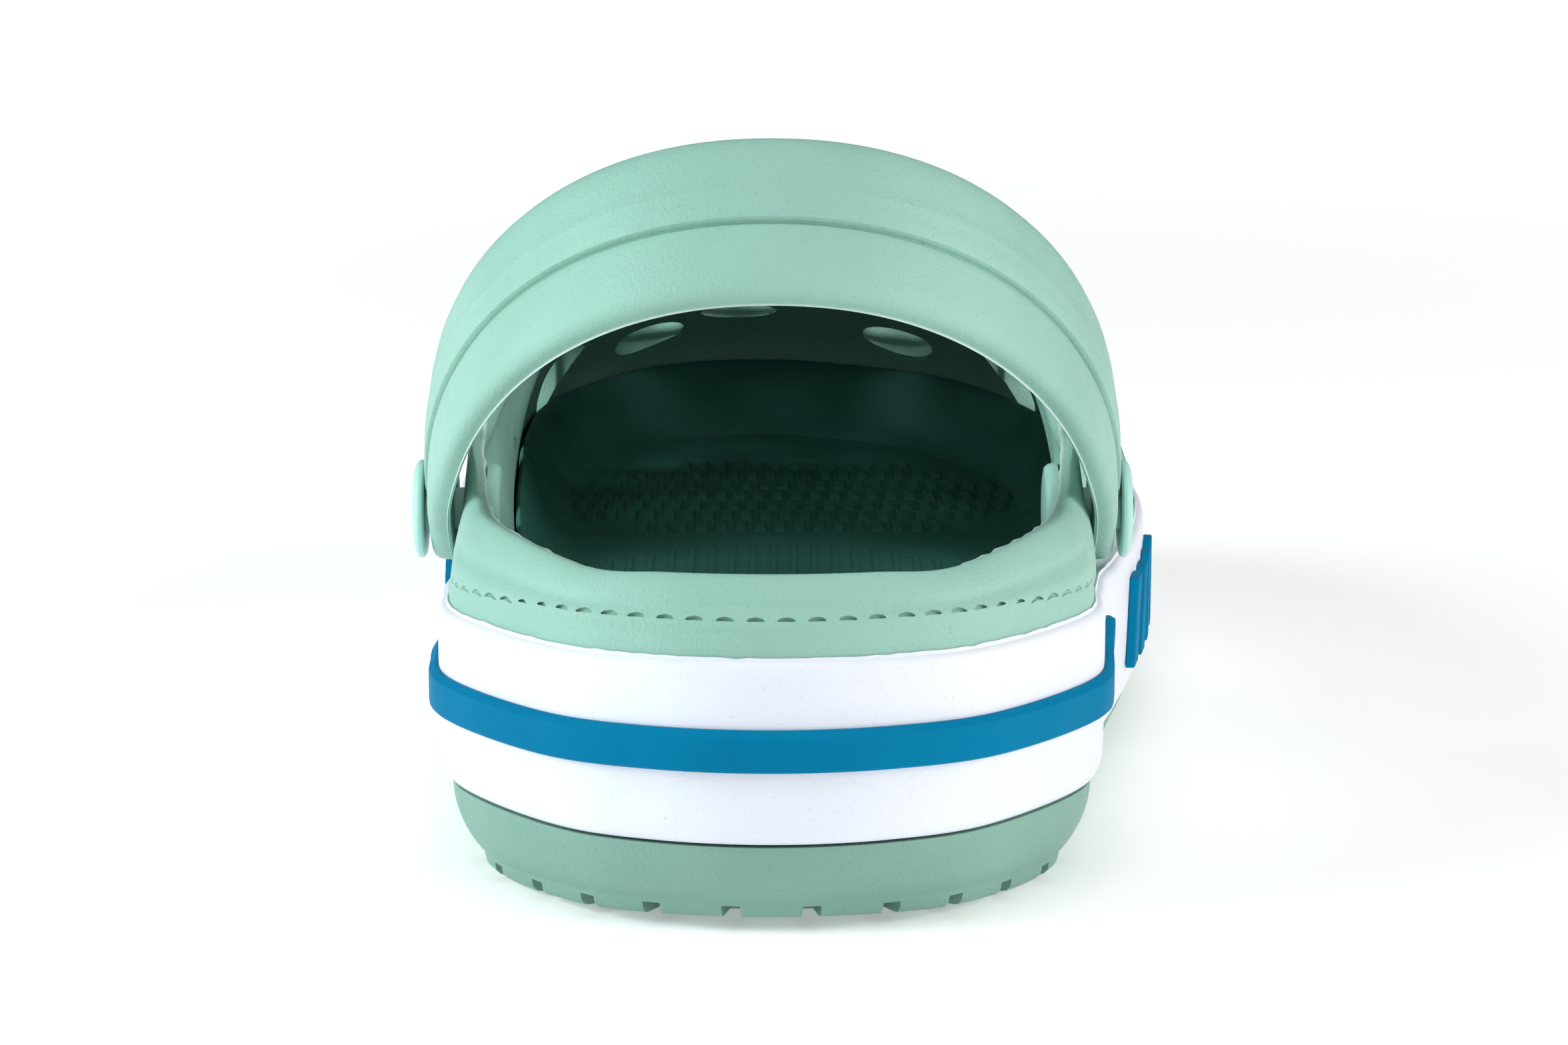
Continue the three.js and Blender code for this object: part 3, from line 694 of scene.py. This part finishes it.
def bezier(points, u):
    a, b, c, d = points
    v = 1 - u
    return a * v**3 + 3 * b * v * v * u + 3 * c * v * u * u + d * u**3


def wall(u, outer=True):
    """Points of the outer or inner wall curve at u, from the band (0) to the rim (1)."""
    up = [0, 0, 1]
    thinnest = np.where(FOOT[:, 1] < 150, np.abs(FOOT[:, 0]) - WALL_LEAST, 100)
    lip = RIM - TIP * (LIP / 2)
    if outer:
        start, end, rise = FOOT, lip, UPRIGHT
    else:
        start = ring(BAND_THICK + GLUE + SKIRT, 0)
        start[:, 2] = FOOT[:, 2]
        start[:, 0] = np.sign(start[:, 0]) * np.minimum(np.abs(start[:, 0]), thinnest)
        end, rise = lip + INWARD * LIP, UPRIGHT - 2
    knee = KNEE if outer else KNEE + INWARD * 4
    return bezier((start, start + np.outer(rise, up), knee, end), u)


# %% [markdown]
# The flash line on the rim varies in height along it. The heel carries a soft swell with a shallow
# hollow above it, both added to the outer wall along its normal.
# %% Upper shell
skirt = BAND_THICK + GLUE
heel_only = 1 - smooth(FOOT[:, 1], 18, 60)
rows = [ring(skirt, CORE_TOP + GLUE), ring(skirt, lambda y: band_top(y) + GLUE), FOOT]
for u in np.linspace(0, 1, 42)[1:]:
    p = wall(u)
    swell = 0.35 * math.exp(-(((u - 0.3) / 0.07) ** 2))
    hollow = 0.25 * math.exp(-(((u - 0.44) / 0.06) ** 2))
    outwards = unit(flat(OVER) + [0, 0, 1e-6])
    rows.append(p + outwards * ((swell - hollow) * heel_only)[:, None])
centre = RIM - TIP * (LIP / 2) + INWARD * (LIP / 2)
crest = 0.4 + np.clip(ripple(T, 7, 0.2), -0.15, 0.3)
for a in np.linspace(0, math.pi, 13)[1:-1]:
    bump = crest * math.exp(-(((a - 1.05) / 0.1) ** 2))
    radius = (LIP / 2 + bump)[:, None]
    rows.append(centre + radius * (-INWARD * math.cos(a) + TIP * math.sin(a)))
outer_rows = len(rows)
INNER_ROWS_COUNT = 30
for u in np.linspace(1, 0, INNER_ROWS_COUNT):
    rows.append(wall(u, outer=False))
rows += [ring(skirt + SKIRT, CORE_TOP + GLUE), ring(skirt, CORE_TOP + GLUE)]
upper = skin("upper_shell", np.array(rows))
faces_round = len(T) - 1
lining = np.zeros(len(upper.data.polygons), np.int32)
first, last = outer_rows - 2, outer_rows + INNER_ROWS_COUNT - 3
lining[first * faces_round : last * faces_round] = 1
upper.data.polygons.foreach_set("material_index", lining)


# %% [markdown]
# The holes over the toes have soft, flared rims. A plain cylinder would leave sharp edges, so the
# cutter is spool shaped: a cylinder whose two ends are extruded outwards in widening steps. It
# stands square to the surface, from the outer skin to the lining, and both are found by casting a
# ray down through the shell.
# %% Vents and side holes
def struck(origin, direction):
    """Where a ray from a point enters and leaves the upper, with the normal where it enters."""
    start, way = Vector(placed(origin)), Vector(direction).normalized()
    _, first, normal, _ = upper.ray_cast(start, way)
    _, second, _, _ = upper.ray_cast(first + way * 2e-4, way)
    return first, second, normal


def turned(name, profile, vertices=48):
    """A round piece on the Z axis, drawn out step by step through (height, radius) in metres."""
    bpy.ops.object.select_all(action="DESELECT")
    height, radius = profile[0]
    bpy.ops.mesh.primitive_circle_add(
        vertices=vertices, radius=radius, fill_type="NGON", location=(0, 0, height)
    )
    bpy.ops.object.transform_apply(location=True)
    piece = bpy.context.active_object
    piece.name = piece.data.name = name
    bpy.ops.object.mode_set(mode="EDIT")
    bpy.ops.mesh.select_all(action="SELECT")
    for next_height, next_radius in profile[1:]:
        move = (0, 0, next_height - height)
        bpy.ops.mesh.extrude_region_move(TRANSFORM_OT_translate={"value": move})
        grow = next_radius / radius
        bpy.ops.transform.resize(value=(grow, grow, 1))
        height, radius = next_height, next_radius
    bpy.ops.object.mode_set(mode="OBJECT")
    return close_up(piece, 1e-7)


def aimed(piece, centre, axis):
    """Turns a piece's Z axis to an axis, moves it to a centre, and applies both."""
    only(piece)
    piece.rotation_euler = Vector(axis).to_track_quat("Z", "Y").to_euler()
    piece.location = centre
    bpy.ops.object.transform_apply(location=True, rotation=True, scale=True)
    return piece


def spool(first, second, axis, radius, flare):
    """Cutter between two surface points: narrow in the middle, flared at both skins."""
    half = (first - second).dot(axis) / 2
    flare = min(flare, 0.8 * half)
    curve = [math.radians(a) for a in (72, 60, 45, 30, 15, 0)]
    steps = [(half - flare * (1 - math.sin(a)), radius + flare * (1 - math.cos(a))) for a in curve]
    wide = steps[0][1] + 0.0005
    steps = [(half + 0.005, wide), (half + 0.0004, wide)] + steps
    profile = [(-h, r) for h, r in steps] + steps[::-1]
    return aimed(turned("hole_cutter", profile, 40), (first + second) / 2, axis)


VENT_RADIUS, VENT_FLARE = 0.0053, 0.0014
PORT_RADIUS, PORT_FLARE, PORT_RISE = 0.006, 0.0008, 9
PORTS = (0.45, 0.62, 0.83)
VENTS = [(0.6, (-27, -1, 25)), (0.672, (-14, 12)), (0.742, (-30, -6, 22))]
VENTS += [(0.812, (-22.4, 7.6)), (0.868, (-6,)), (0.9, (-22, 21.4))]
cutters = []
for share, places in VENTS:
    for x in places:
        first, second, normal = struck((x, share * LENGTH, 110), (0, 0, -1))
        way = (normal * 0.6 + Vector((0, 0.1, 1)) * 0.4).normalized()
        first, second, _ = struck((first + way * 0.02 - Vector(ORIGIN)) * 1000, -way)
        cutters.append(spool(first, second, way, VENT_RADIUS, VENT_FLARE))
for side in (1, -1):
    for share in PORTS:
        t = side_t([share * LENGTH], side)
        far, near = inside(t, -20)[0], inside(t, 20)[0]
        far[2] = near[2] = band_top(share * LENGTH) + PORT_RISE
        way = Vector(near - far).normalized()
        first, second, _ = struck(far, way)
        cutters.append(spool(first, second, -way, PORT_RADIUS, PORT_FLARE))
for cutter in cutters:
    carve(upper, [cutter])
print(f"upper cut by {len(cutters)} holes")


# %% [markdown]
# Round the heel the mould imitates a row of stitches: short curved dents. Each is cut with its own
# low-poly sphere, flattened and bent, along a line on the outer wall. The row drops a little
# towards the sides, and its dents grow smaller.
# %% Moulded stitches
STITCH_PITCH = 4.0
STITCH_END = 52
STITCH_HEIGHTS = (41.0, 38.8)
DENT_SIZE = [1.8, 0.4, 0.36]
DENT_BEND = 0.16


def on_wall(t, height):
    """Points of the outer wall at given heights, with the outward normals there."""
    us = np.linspace(0, 1, 60)
    grid = np.array([wall(u) for u in us])
    found = []
    for station, z in zip(t, height):
        i = int(np.clip(np.searchsorted(T, station) - 1, 0, len(T) - 2))
        column = mix(grid[:, i], grid[:, i + 1], (station - T[i]) / (T[i + 1] - T[i]))
        k = int(np.argmax(column[:, 2] >= z))
        across, up = grid[k, i + 1] - grid[k, i], column[k] - column[k - 1]
        share = (z - column[k - 1, 2]) / (column[k, 2] - column[k - 1, 2])
        normal = np.cross(across, up)
        found.append((mix(column[k - 1], column[k], share), unit(across), unit(normal)))
    return found


def dent(at, across, normal, size):
    bpy.ops.mesh.primitive_uv_sphere_add(segments=12, ring_count=6, radius=1)
    piece = bpy.context.active_object
    local = np.array([v.co for v in piece.data.vertices]) * DENT_SIZE * size
    local[:, 1] -= DENT_BEND * local[:, 0] ** 2 / size
    up = np.cross(normal, across)
    points = at + local[:, :1] * across + local[:, 1:2] * up + local[:, 2:] * normal
    piece.data.vertices.foreach_set("co", placed(points).astype(np.float32).ravel())
    return edit(piece, ("normals_make_consistent", dict(inside=False)))


fine_t = np.linspace(side_t([STITCH_END], -1)[0] - 1, side_t([STITCH_END], 1)[0], 1200)
run = np.concatenate([[0], np.cumsum(np.linalg.norm(np.diff(outline(fine_t), axis=0), axis=1))])
count = int(run[-1] / STITCH_PITCH)
stitch_t = np.interp((np.arange(count) + 0.5) * run[-1] / count, run, fine_t) % 1
stitch_y = outline(stitch_t)[:, 1]
stitches = on_wall(stitch_t, mix(*STITCH_HEIGHTS, smooth(stitch_y, 0, 45)))
cutters = []
for (at, across, normal), y in zip(stitches, stitch_y):
    cutters.append(dent(at, across, normal, 1 - 0.5 * float(smooth(y, 12, STITCH_END))))
for cutter in cutters:
    carve(upper, [cutter])
print(f"{count} stitches round the heel")

# %% [markdown]
# Under the lip the lining shows the mark of a knit that the mould was textured with: short dashes
# in staggered rows. They are only fractions of a millimetre deep, so they are a bump, from a brick
# pattern that follows the wall's own UV map.
# The lining is painted lighter than the outer green: painted light shining through the thin foam.
# %% Lining knit and painted glow
def lining_knit_and_glow(dark, light):
    material = foam("green_lining_painted_glow", dark, light, 0.5)
    tree = material.node_tree
    shader = tree.nodes["Principled BSDF"]
    under = shader.inputs["Normal"].links[0].from_socket
    uv = tree.nodes.new("ShaderNodeTexCoord").outputs["UV"]
    brick = add(tree, "ShaderNodeTexBrick", Scale=1.0)
    brick.inputs["Mortar Size"].default_value = 0.0007
    brick.inputs["Mortar Smooth"].default_value = 0.6
    brick.inputs["Brick Width"].default_value = 0.0052
    brick.inputs["Row Height"].default_value = 0.0036
    tree.links.new(uv, brick.inputs["Vector"])
    dashes = raise_bump(tree, brick.outputs["Fac"], 0.0005, 0.8, under)
    tree.links.new(dashes, shader.inputs["Normal"])
    return material


# These colours are lighter than the outer green: painted light shining through the thin foam.
LINING_WITH_GLOW = lining_knit_and_glow((0.36, 0.70, 0.58), (0.42, 0.78, 0.66))
# The flash on the rim's crest is painted lighter: painted light shining through the thin foam.
fin = centre + (LIP / 2 + crest)[:, None] * (TIP * math.sin(math.pi / 3) - INWARD * 0.5)
mark_flash(upper, fin, 0.15)
paint(soften(upper, 40), GREEN, LINING_WITH_GLOW)
finish_piece(upper, "shoe", "green_foam", "upper")

# %% [markdown]
# ## The footbed
# The footbed is a dark insole whose edge curls up the wall beside the toes. Its dark colour is
# partly its own and partly painted shade of the deep inside of the shoe, which the curled edge
# carries up the wall. Its edge follows the lining's own curve, a little inside it, and its top
# sinks to the middle in rings.
# %% Footbed shell
FOOTBED_THICK = 7
FLOOR = CORE_TOP + GLUE + FOOTBED_THICK
# The curled edge carries the footbed's dark colour, partly painted shade, up the wall beside the
# toes.
HEEL_CUP, TOE_CURL = 5, 11
TOE_RISE = 4
WALL_FOOT = BAND_THICK + GLUE + SKIRT


def toe_rise(y):
    return TOE_RISE * np.clip((y - 0.8 * LENGTH) / (0.2 * LENGTH), 0, 1) ** 2


def curl(y):
    return mix(HEEL_CUP, TOE_CURL, smooth(y, pivot_y, 0.56 * LENGTH))


def beside_wall(height, distance):
    """Ring at a height given for each station, at a distance from the lining."""
    us = np.linspace(0, 1, 121)
    grid = np.array([wall(u, outer=False) for u in us])
    low = ring(WALL_FOOT, 0)
    first = np.argmax(grid[:, :, 2] >= height, axis=0)
    stations = np.arange(len(T))
    a, b = grid[np.maximum(first - 1, 0), stations], grid[first, stations]
    share = np.clip((height - a[:, 2]) / np.maximum(b[:, 2] - a[:, 2], 1e-6), 0, 1)
    p = mix(a, b, share[:, None])
    below = height < FOOT[:, 2]
    p[below] = low[below]
    inwards = ring(WALL_FOOT + 1, 0) - low
    p = p + inwards * distance
    p[:, 2] = height
    return p


edge_y = ring(WALL_FOOT, 0)[:, 1]
crest_z = FLOOR + toe_rise(edge_y) + curl(edge_y)


def edge(distance, share):
    """A ring down the curled edge, lowered by a share of its height."""
    p = beside_wall(crest_z, distance)
    p[:, 2] -= curl(p[:, 1]) * share
    return p


def floor_height(y):
    return FLOOR + toe_rise(y)


rows = [spine(1, lambda y: np.full_like(y, CORE_TOP + GLUE), WALL_FOOT + 0.3)]
rows += [ring(WALL_FOOT + 0.3, CORE_TOP + GLUE)]
rows += [edge(0.3, 0.35), edge(0.3, 0.12), edge(0.55, 0.03), edge(0.95, 0.0), edge(1.4, 0.02)]
rows += [edge(1.8, 0.1), edge(2.5, 0.24), edge(3.3, 0.42), edge(4.2, 0.6), edge(5.3, 0.78)]
rows += [edge(6.6, 0.9), edge(8.2, 0.975)]
rows += [spine(s, floor_height, WALL_FOOT + 10) for s in np.linspace(0, 1, 16)]
footbed = skin("footbed_liner", np.array(rows))
# The footbed is painted dark: partly its own colour, partly painted shade.
paint(soften(footbed, 45), FOOTBED_DARK_AND_SHADE)
finish_piece(footbed, "shoe", "footbed_foam", "footbed")

# %% [markdown]
# Under the ball of the foot the footbed has a field of raised tiles, and behind it fine ribs run
# along the foot. Each is its own small bar, and they are joined and bevelled together.
# %% Footbed tiles and ribs
TILE_PITCH = (3.1, 9.4)
TILE_SIZE = (2.3, 7.4, 1.0)
RIB_SIZE = (1.4, 38, 0.8)
FIELD_CENTRE, FIELD_RADIUS = (2, 176), 36


def nub(centre, size, taper):
    """A bar whose top is narrowed all round by the same amount."""
    piece = bar(centre, size)
    top = max(v.co.z for v in piece.data.vertices)
    middle = placed(centre)
    for v in piece.data.vertices:
        if v.co.z > top - 1e-6:
            v.co.x = middle[0] + (v.co.x - middle[0]) * taper
            v.co.y = middle[1] + (v.co.y - middle[1]) * (1 - (1 - taper) * size[0] / size[1])
    return piece


def in_field(x, y):
    """The tiles fill a rounded field under the ball of the foot."""
    return math.hypot(x - FIELD_CENTRE[0], y - FIELD_CENTRE[1]) < FIELD_RADIUS


nubs = []
for row in range(9):
    y = 140 + TILE_PITCH[1] * row
    for column in range(-12, 14):
        x = column * TILE_PITCH[0] + 0.9 * row
        if in_field(x, y):
            nubs.append(nub((x, y, float(floor_height(y)) + 0.05), TILE_SIZE, 0.72))
for column in range(-9, 11):
    x = column * TILE_PITCH[0]
    nubs.append(nub((x, 116 - 0.02 * x * x, FLOOR - 0.1), RIB_SIZE, 0.6))
only(*nubs)
bpy.ops.object.join()
tiles = bpy.context.active_object
tiles.name = tiles.data.name = "footbed_tiles"
round_edges(tiles, 0.15, 2, 40)
# The tiles share the footbed's dark colour, partly painted shade.
paint(soften(tiles, 30), FOOTBED_DARK_AND_SHADE)
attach(tiles, "shoe")
print(f"{len(nubs)} tiles and ribs")

# %% [markdown]
# ## The heel strap
# The strap is a bow of foam. Its plan is a superellipse, a little squarer than an ellipse, and its
# section has a rounded top, a faint ridge, a step down to a lower band, and a bevel that ends in a
# thin line of flash. Each point of the section is given as its place across the strap, from about
# -1 to 1, and its height above the inner face. The section is repeated along the bow, and the bow
# narrows to a round tab at each end. A bent cube would not keep these fine lines even.
# %% Strap
STRAP_REACH, STRAP_BULGE, STRAP_WIDTH, STRAP_TAB, STRAP_FLARE = 82.7, 2.15, 24.3, 8, 34
STRAP_INNER = SEAT_HALF + 0.4
STRAP_ANGLE = 0.618
STRAP_PROFILE = [(-0.98, 0.0), (-1.0, 0.12), (-1.0, 0.3), (-1.035, 0.42), (-1.0, 0.56), (-1.0, 1.3)]
STRAP_PROFILE += [(-0.985, 1.9), (-0.95, 2.5), (-0.89, 2.95), (-0.81, 3.22), (-0.7, 3.36)]
STRAP_PROFILE += [(-0.45, 3.44), (-0.2, 3.42), (-0.12, 3.36), (-0.095, 3.2), (-0.082, 2.95)]
STRAP_PROFILE += [(-0.066, 2.85), (-0.052, 3.0), (-0.045, 3.5), (-0.03, 3.8), (0.0, 3.95)]
STRAP_PROFILE += [(0.12, 4.0), (0.25, 3.97), (0.285, 4.02), (0.31, 4.02), (0.35, 3.9)]
STRAP_PROFILE += [(0.5, 3.8), (0.68, 3.6), (0.82, 3.25), (0.91, 2.8), (0.965, 2.2), (0.99, 1.5)]
STRAP_PROFILE += [(1.0, 0.8), (1.0, 0.15), (0.985, 0.0), (0.5, 0.0), (0.0, 0.0), (-0.5, 0.0)]


def strap_line():
    """Along the strap: inner face x and r, outward direction, and half width."""
    tab = np.linspace(math.pi / 2 * 0.995, 0, 14)[:-1]
    r_tab, half_tab = -STRAP_TAB * np.sin(tab), STRAP_TAB * np.cos(tab)
    a = np.linspace(0, math.pi, 221)
    power = 2 / STRAP_BULGE
    c, s = np.cos(a), np.abs(np.sin(a))
    x = STRAP_INNER * np.sign(c) * np.abs(c) ** power
    r = STRAP_REACH * s**power
    gx = np.sign(c) * np.abs(x / STRAP_INNER) ** (STRAP_BULGE - 1) / STRAP_INNER
    gr = (r / STRAP_REACH) ** (STRAP_BULGE - 1) / STRAP_REACH
    out = unit(np.column_stack([gx, gr]))
    half = mix(STRAP_TAB, STRAP_WIDTH / 2, smooth(r, 0, STRAP_FLARE))
    ends = [np.column_stack([np.full(13, k * STRAP_INNER), r_tab]) for k in (1, -1)]
    line = np.vstack([ends[0], np.column_stack([x, r]), ends[1][::-1]])
    side = [np.tile([k, 0.0], (13, 1)) for k in (1, -1)]
    out = np.vstack([side[0], out, side[1]])
    return line, out, np.concatenate([half_tab, half, half_tab[::-1]])


# The lower band, below the step in the section, is drawn in a little towards the step.
STEP, LOWER_SHARE = -0.07, 0.88
STRAP_PROFILE = [(a if a > STEP else LOWER_SHARE * (a - STEP) + STEP, d) for a, d in STRAP_PROFILE]
line, out, half = strap_line()
back = np.array([0, -math.cos(STRAP_ANGLE), math.sin(STRAP_ANGLE)])
across_strap = np.array([0, math.sin(STRAP_ANGLE), math.cos(STRAP_ANGLE)])
rows = []
for across, depth in STRAP_PROFILE + STRAP_PROFILE[:1]:
    p = np.array([0, pivot_y, pivot_z]) + np.outer(line[:, 1] + out[:, 1] * depth, back)
    p += np.outer(across * half, across_strap)
    p[:, 0] = line[:, 0] + out[:, 0] * depth
    rows.append(p)
strap = skin("heel_strap_foam", np.array(rows))
edit(strap, ("fill_holes", dict(sides=0)), ("normals_make_consistent", dict(inside=False)))
SHANK_HOLE = 0.0033
hole = turned("hole_cutter", [(-0.08, SHANK_HOLE), (0.08, SHANK_HOLE)], 32)
carve(strap, [aimed(hole, placed((0, pivot_y, pivot_z)), (1, 0, 0))])
# The flash on the strap's lower edge is painted lighter: painted light shining through the thin
# foam.
mark_flash(strap, rows[3], 0.12)
paint(soften(strap, 35), GREEN)
finish_piece(strap, "strap", "green_foam", "heel_strap")

# %% [markdown]
# ## The rivets
# A press rivet has a domed button outside, a shank through strap and upper, and a cap inside. Both
# are turned shapes, so a circle is drawn out along its axis, step by step.
# %% Rivets
BUTTON_FACE = STRAP_INNER + 4 + 0.2
CAP_FACE = SEAT_HALF - 4 - GLUE
BUTTON = [(CAP_FACE - 2, 2.6), (CAP_FACE - 1.7, 3.0), (BUTTON_FACE, 3.0), (BUTTON_FACE, 6.5)]
BUTTON += [(BUTTON_FACE + 0.25, 6.9), (BUTTON_FACE + 0.6, 7.0), (BUTTON_FACE + 1.0, 6.85)]
BUTTON += [(BUTTON_FACE + 1.4, 6.3), (BUTTON_FACE + 1.6, 5.6), (BUTTON_FACE + 1.45, 5.2)]
BUTTON += [(BUTTON_FACE + 1.5, 4.8), (BUTTON_FACE + 1.68, 4.2), (BUTTON_FACE + 1.78, 2.4)]
BUTTON += [(BUTTON_FACE + 1.8, 0.4)]
CAP = [(CAP_FACE - 2.1, 0.4), (CAP_FACE - 2.05, 3.0), (CAP_FACE - 1.95, 5.0)]
CAP += [(CAP_FACE - 1.8, 5.9), (CAP_FACE - 1.3, 6.35), (CAP_FACE - 0.7, 6.5)]
CAP += [(CAP_FACE, 6.5), (CAP_FACE, 0.4)]
for label, side in (("outer", 1), ("inner", -1)):
    for part, profile in (("button", BUTTON), ("cap", CAP)):
        piece = turned(f"{label}_rivet_{part}_turned", [(h / 1000, r / 1000) for h, r in profile])
        aimed(piece, placed((0, pivot_y, pivot_z)), (side, 0, 0))
        paint(soften(piece, 40), MINT)
        finish_piece(piece, "shoe", "rivet_plastic", f"{label}_rivet_{part}")

# %% [markdown]
# ## Floor, light and camera
# A plain white floor and large soft lights give the even light of a studio. The left light is
# stronger and a touch cooler than the right one, which models the two sides of the foam, and a weak
# one in front reaches the lining. The floor glows a little, more so far away, to stay white.
# %% Studio
bpy.ops.object.select_all(action="DESELECT")
bpy.ops.mesh.primitive_plane_add(size=60, location=(0, 0, -0.0002))
floor = bpy.context.active_object
floor.name = "floor"
floor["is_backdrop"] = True
floor_material = bpy.data.materials.new("floor_white")
floor_material.use_nodes = True
tree = floor_material.node_tree
shader = tree.nodes["Principled BSDF"]
shader.inputs["Base Color"].default_value = (0.92, 0.92, 0.92, 1)
shader.inputs["Roughness"].default_value = 0.9
shader.inputs["Specular IOR Level"].default_value = 0.0
shader.inputs["Emission Color"].default_value = (1, 1, 1, 1)
away = tree.nodes.new("ShaderNodeVectorMath")
away.operation = "LENGTH"
tree.links.new(tree.nodes.new("ShaderNodeTexCoord").outputs["Object"], away.inputs[0])
glow = ramp(tree, away.outputs["Value"], 0.2, 1.6, 0.28, 0.9)
tree.links.new(glow, shader.inputs["Emission Strength"])
paint(floor, floor_material)


def soft_light(name, place, target, size, watts, colour):
    light = bpy.data.lights.new(name, "AREA")
    light.shape = "RECTANGLE"
    light.size, light.size_y = size
    light.energy = watts
    light.color = colour
    lamp = bpy.data.objects.new(name, light)
    bpy.context.scene.collection.objects.link(lamp)
    lamp.location = place
    lamp.rotation_euler = (Vector(target) - Vector(place)).to_track_quat("-Z", "Y").to_euler()


CENTRE = (0, 0, 0.04)
soft_light("left_softbox", (-1.2, -0.3, 0.55), CENTRE, (0.8, 0.8), 17.5, (0.88, 0.98, 1.0))
soft_light("right_softbox", (1.2, -0.4, 0.5), CENTRE, (0.8, 0.8), 12, (1.0, 0.99, 0.97))
soft_light("top_softbox", (0.0, -0.4, 1.3), CENTRE, (0.9, 0.9), 5, (1.0, 1.0, 1.0))
soft_light("front_softbox", (0.0, -1.3, 0.14), CENTRE, (0.4, 0.3), 1.3, (1.0, 1.0, 1.0))
world = bpy.data.worlds.new("studio")
bpy.context.scene.world = world
world.use_nodes = True
world.node_tree.nodes["Background"].inputs["Color"].default_value = (1, 1, 1, 1)
world.node_tree.nodes["Background"].inputs["Strength"].default_value = 0.17

bpy.context.scene.view_settings.view_transform = "Standard"

camera = bpy.data.objects.new("camera", bpy.data.cameras.new("camera"))
bpy.context.scene.collection.objects.link(camera)
camera.data.sensor_width = 36
camera.data.lens = 99
camera.location = placed((1.59, -520, 150))
camera.rotation_euler = (math.pi / 2 - 0.183, 0, 0)
bpy.context.scene.camera = camera

boxes = {"cad": cad_box, "visual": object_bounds()}
{name: [list(corner) for corner in box] for name, box in boxes.items()}
for name, (low, high) in boxes.items():
    print(name, [round(1000 * (b - a), 1) for a, b in zip(low, high)])
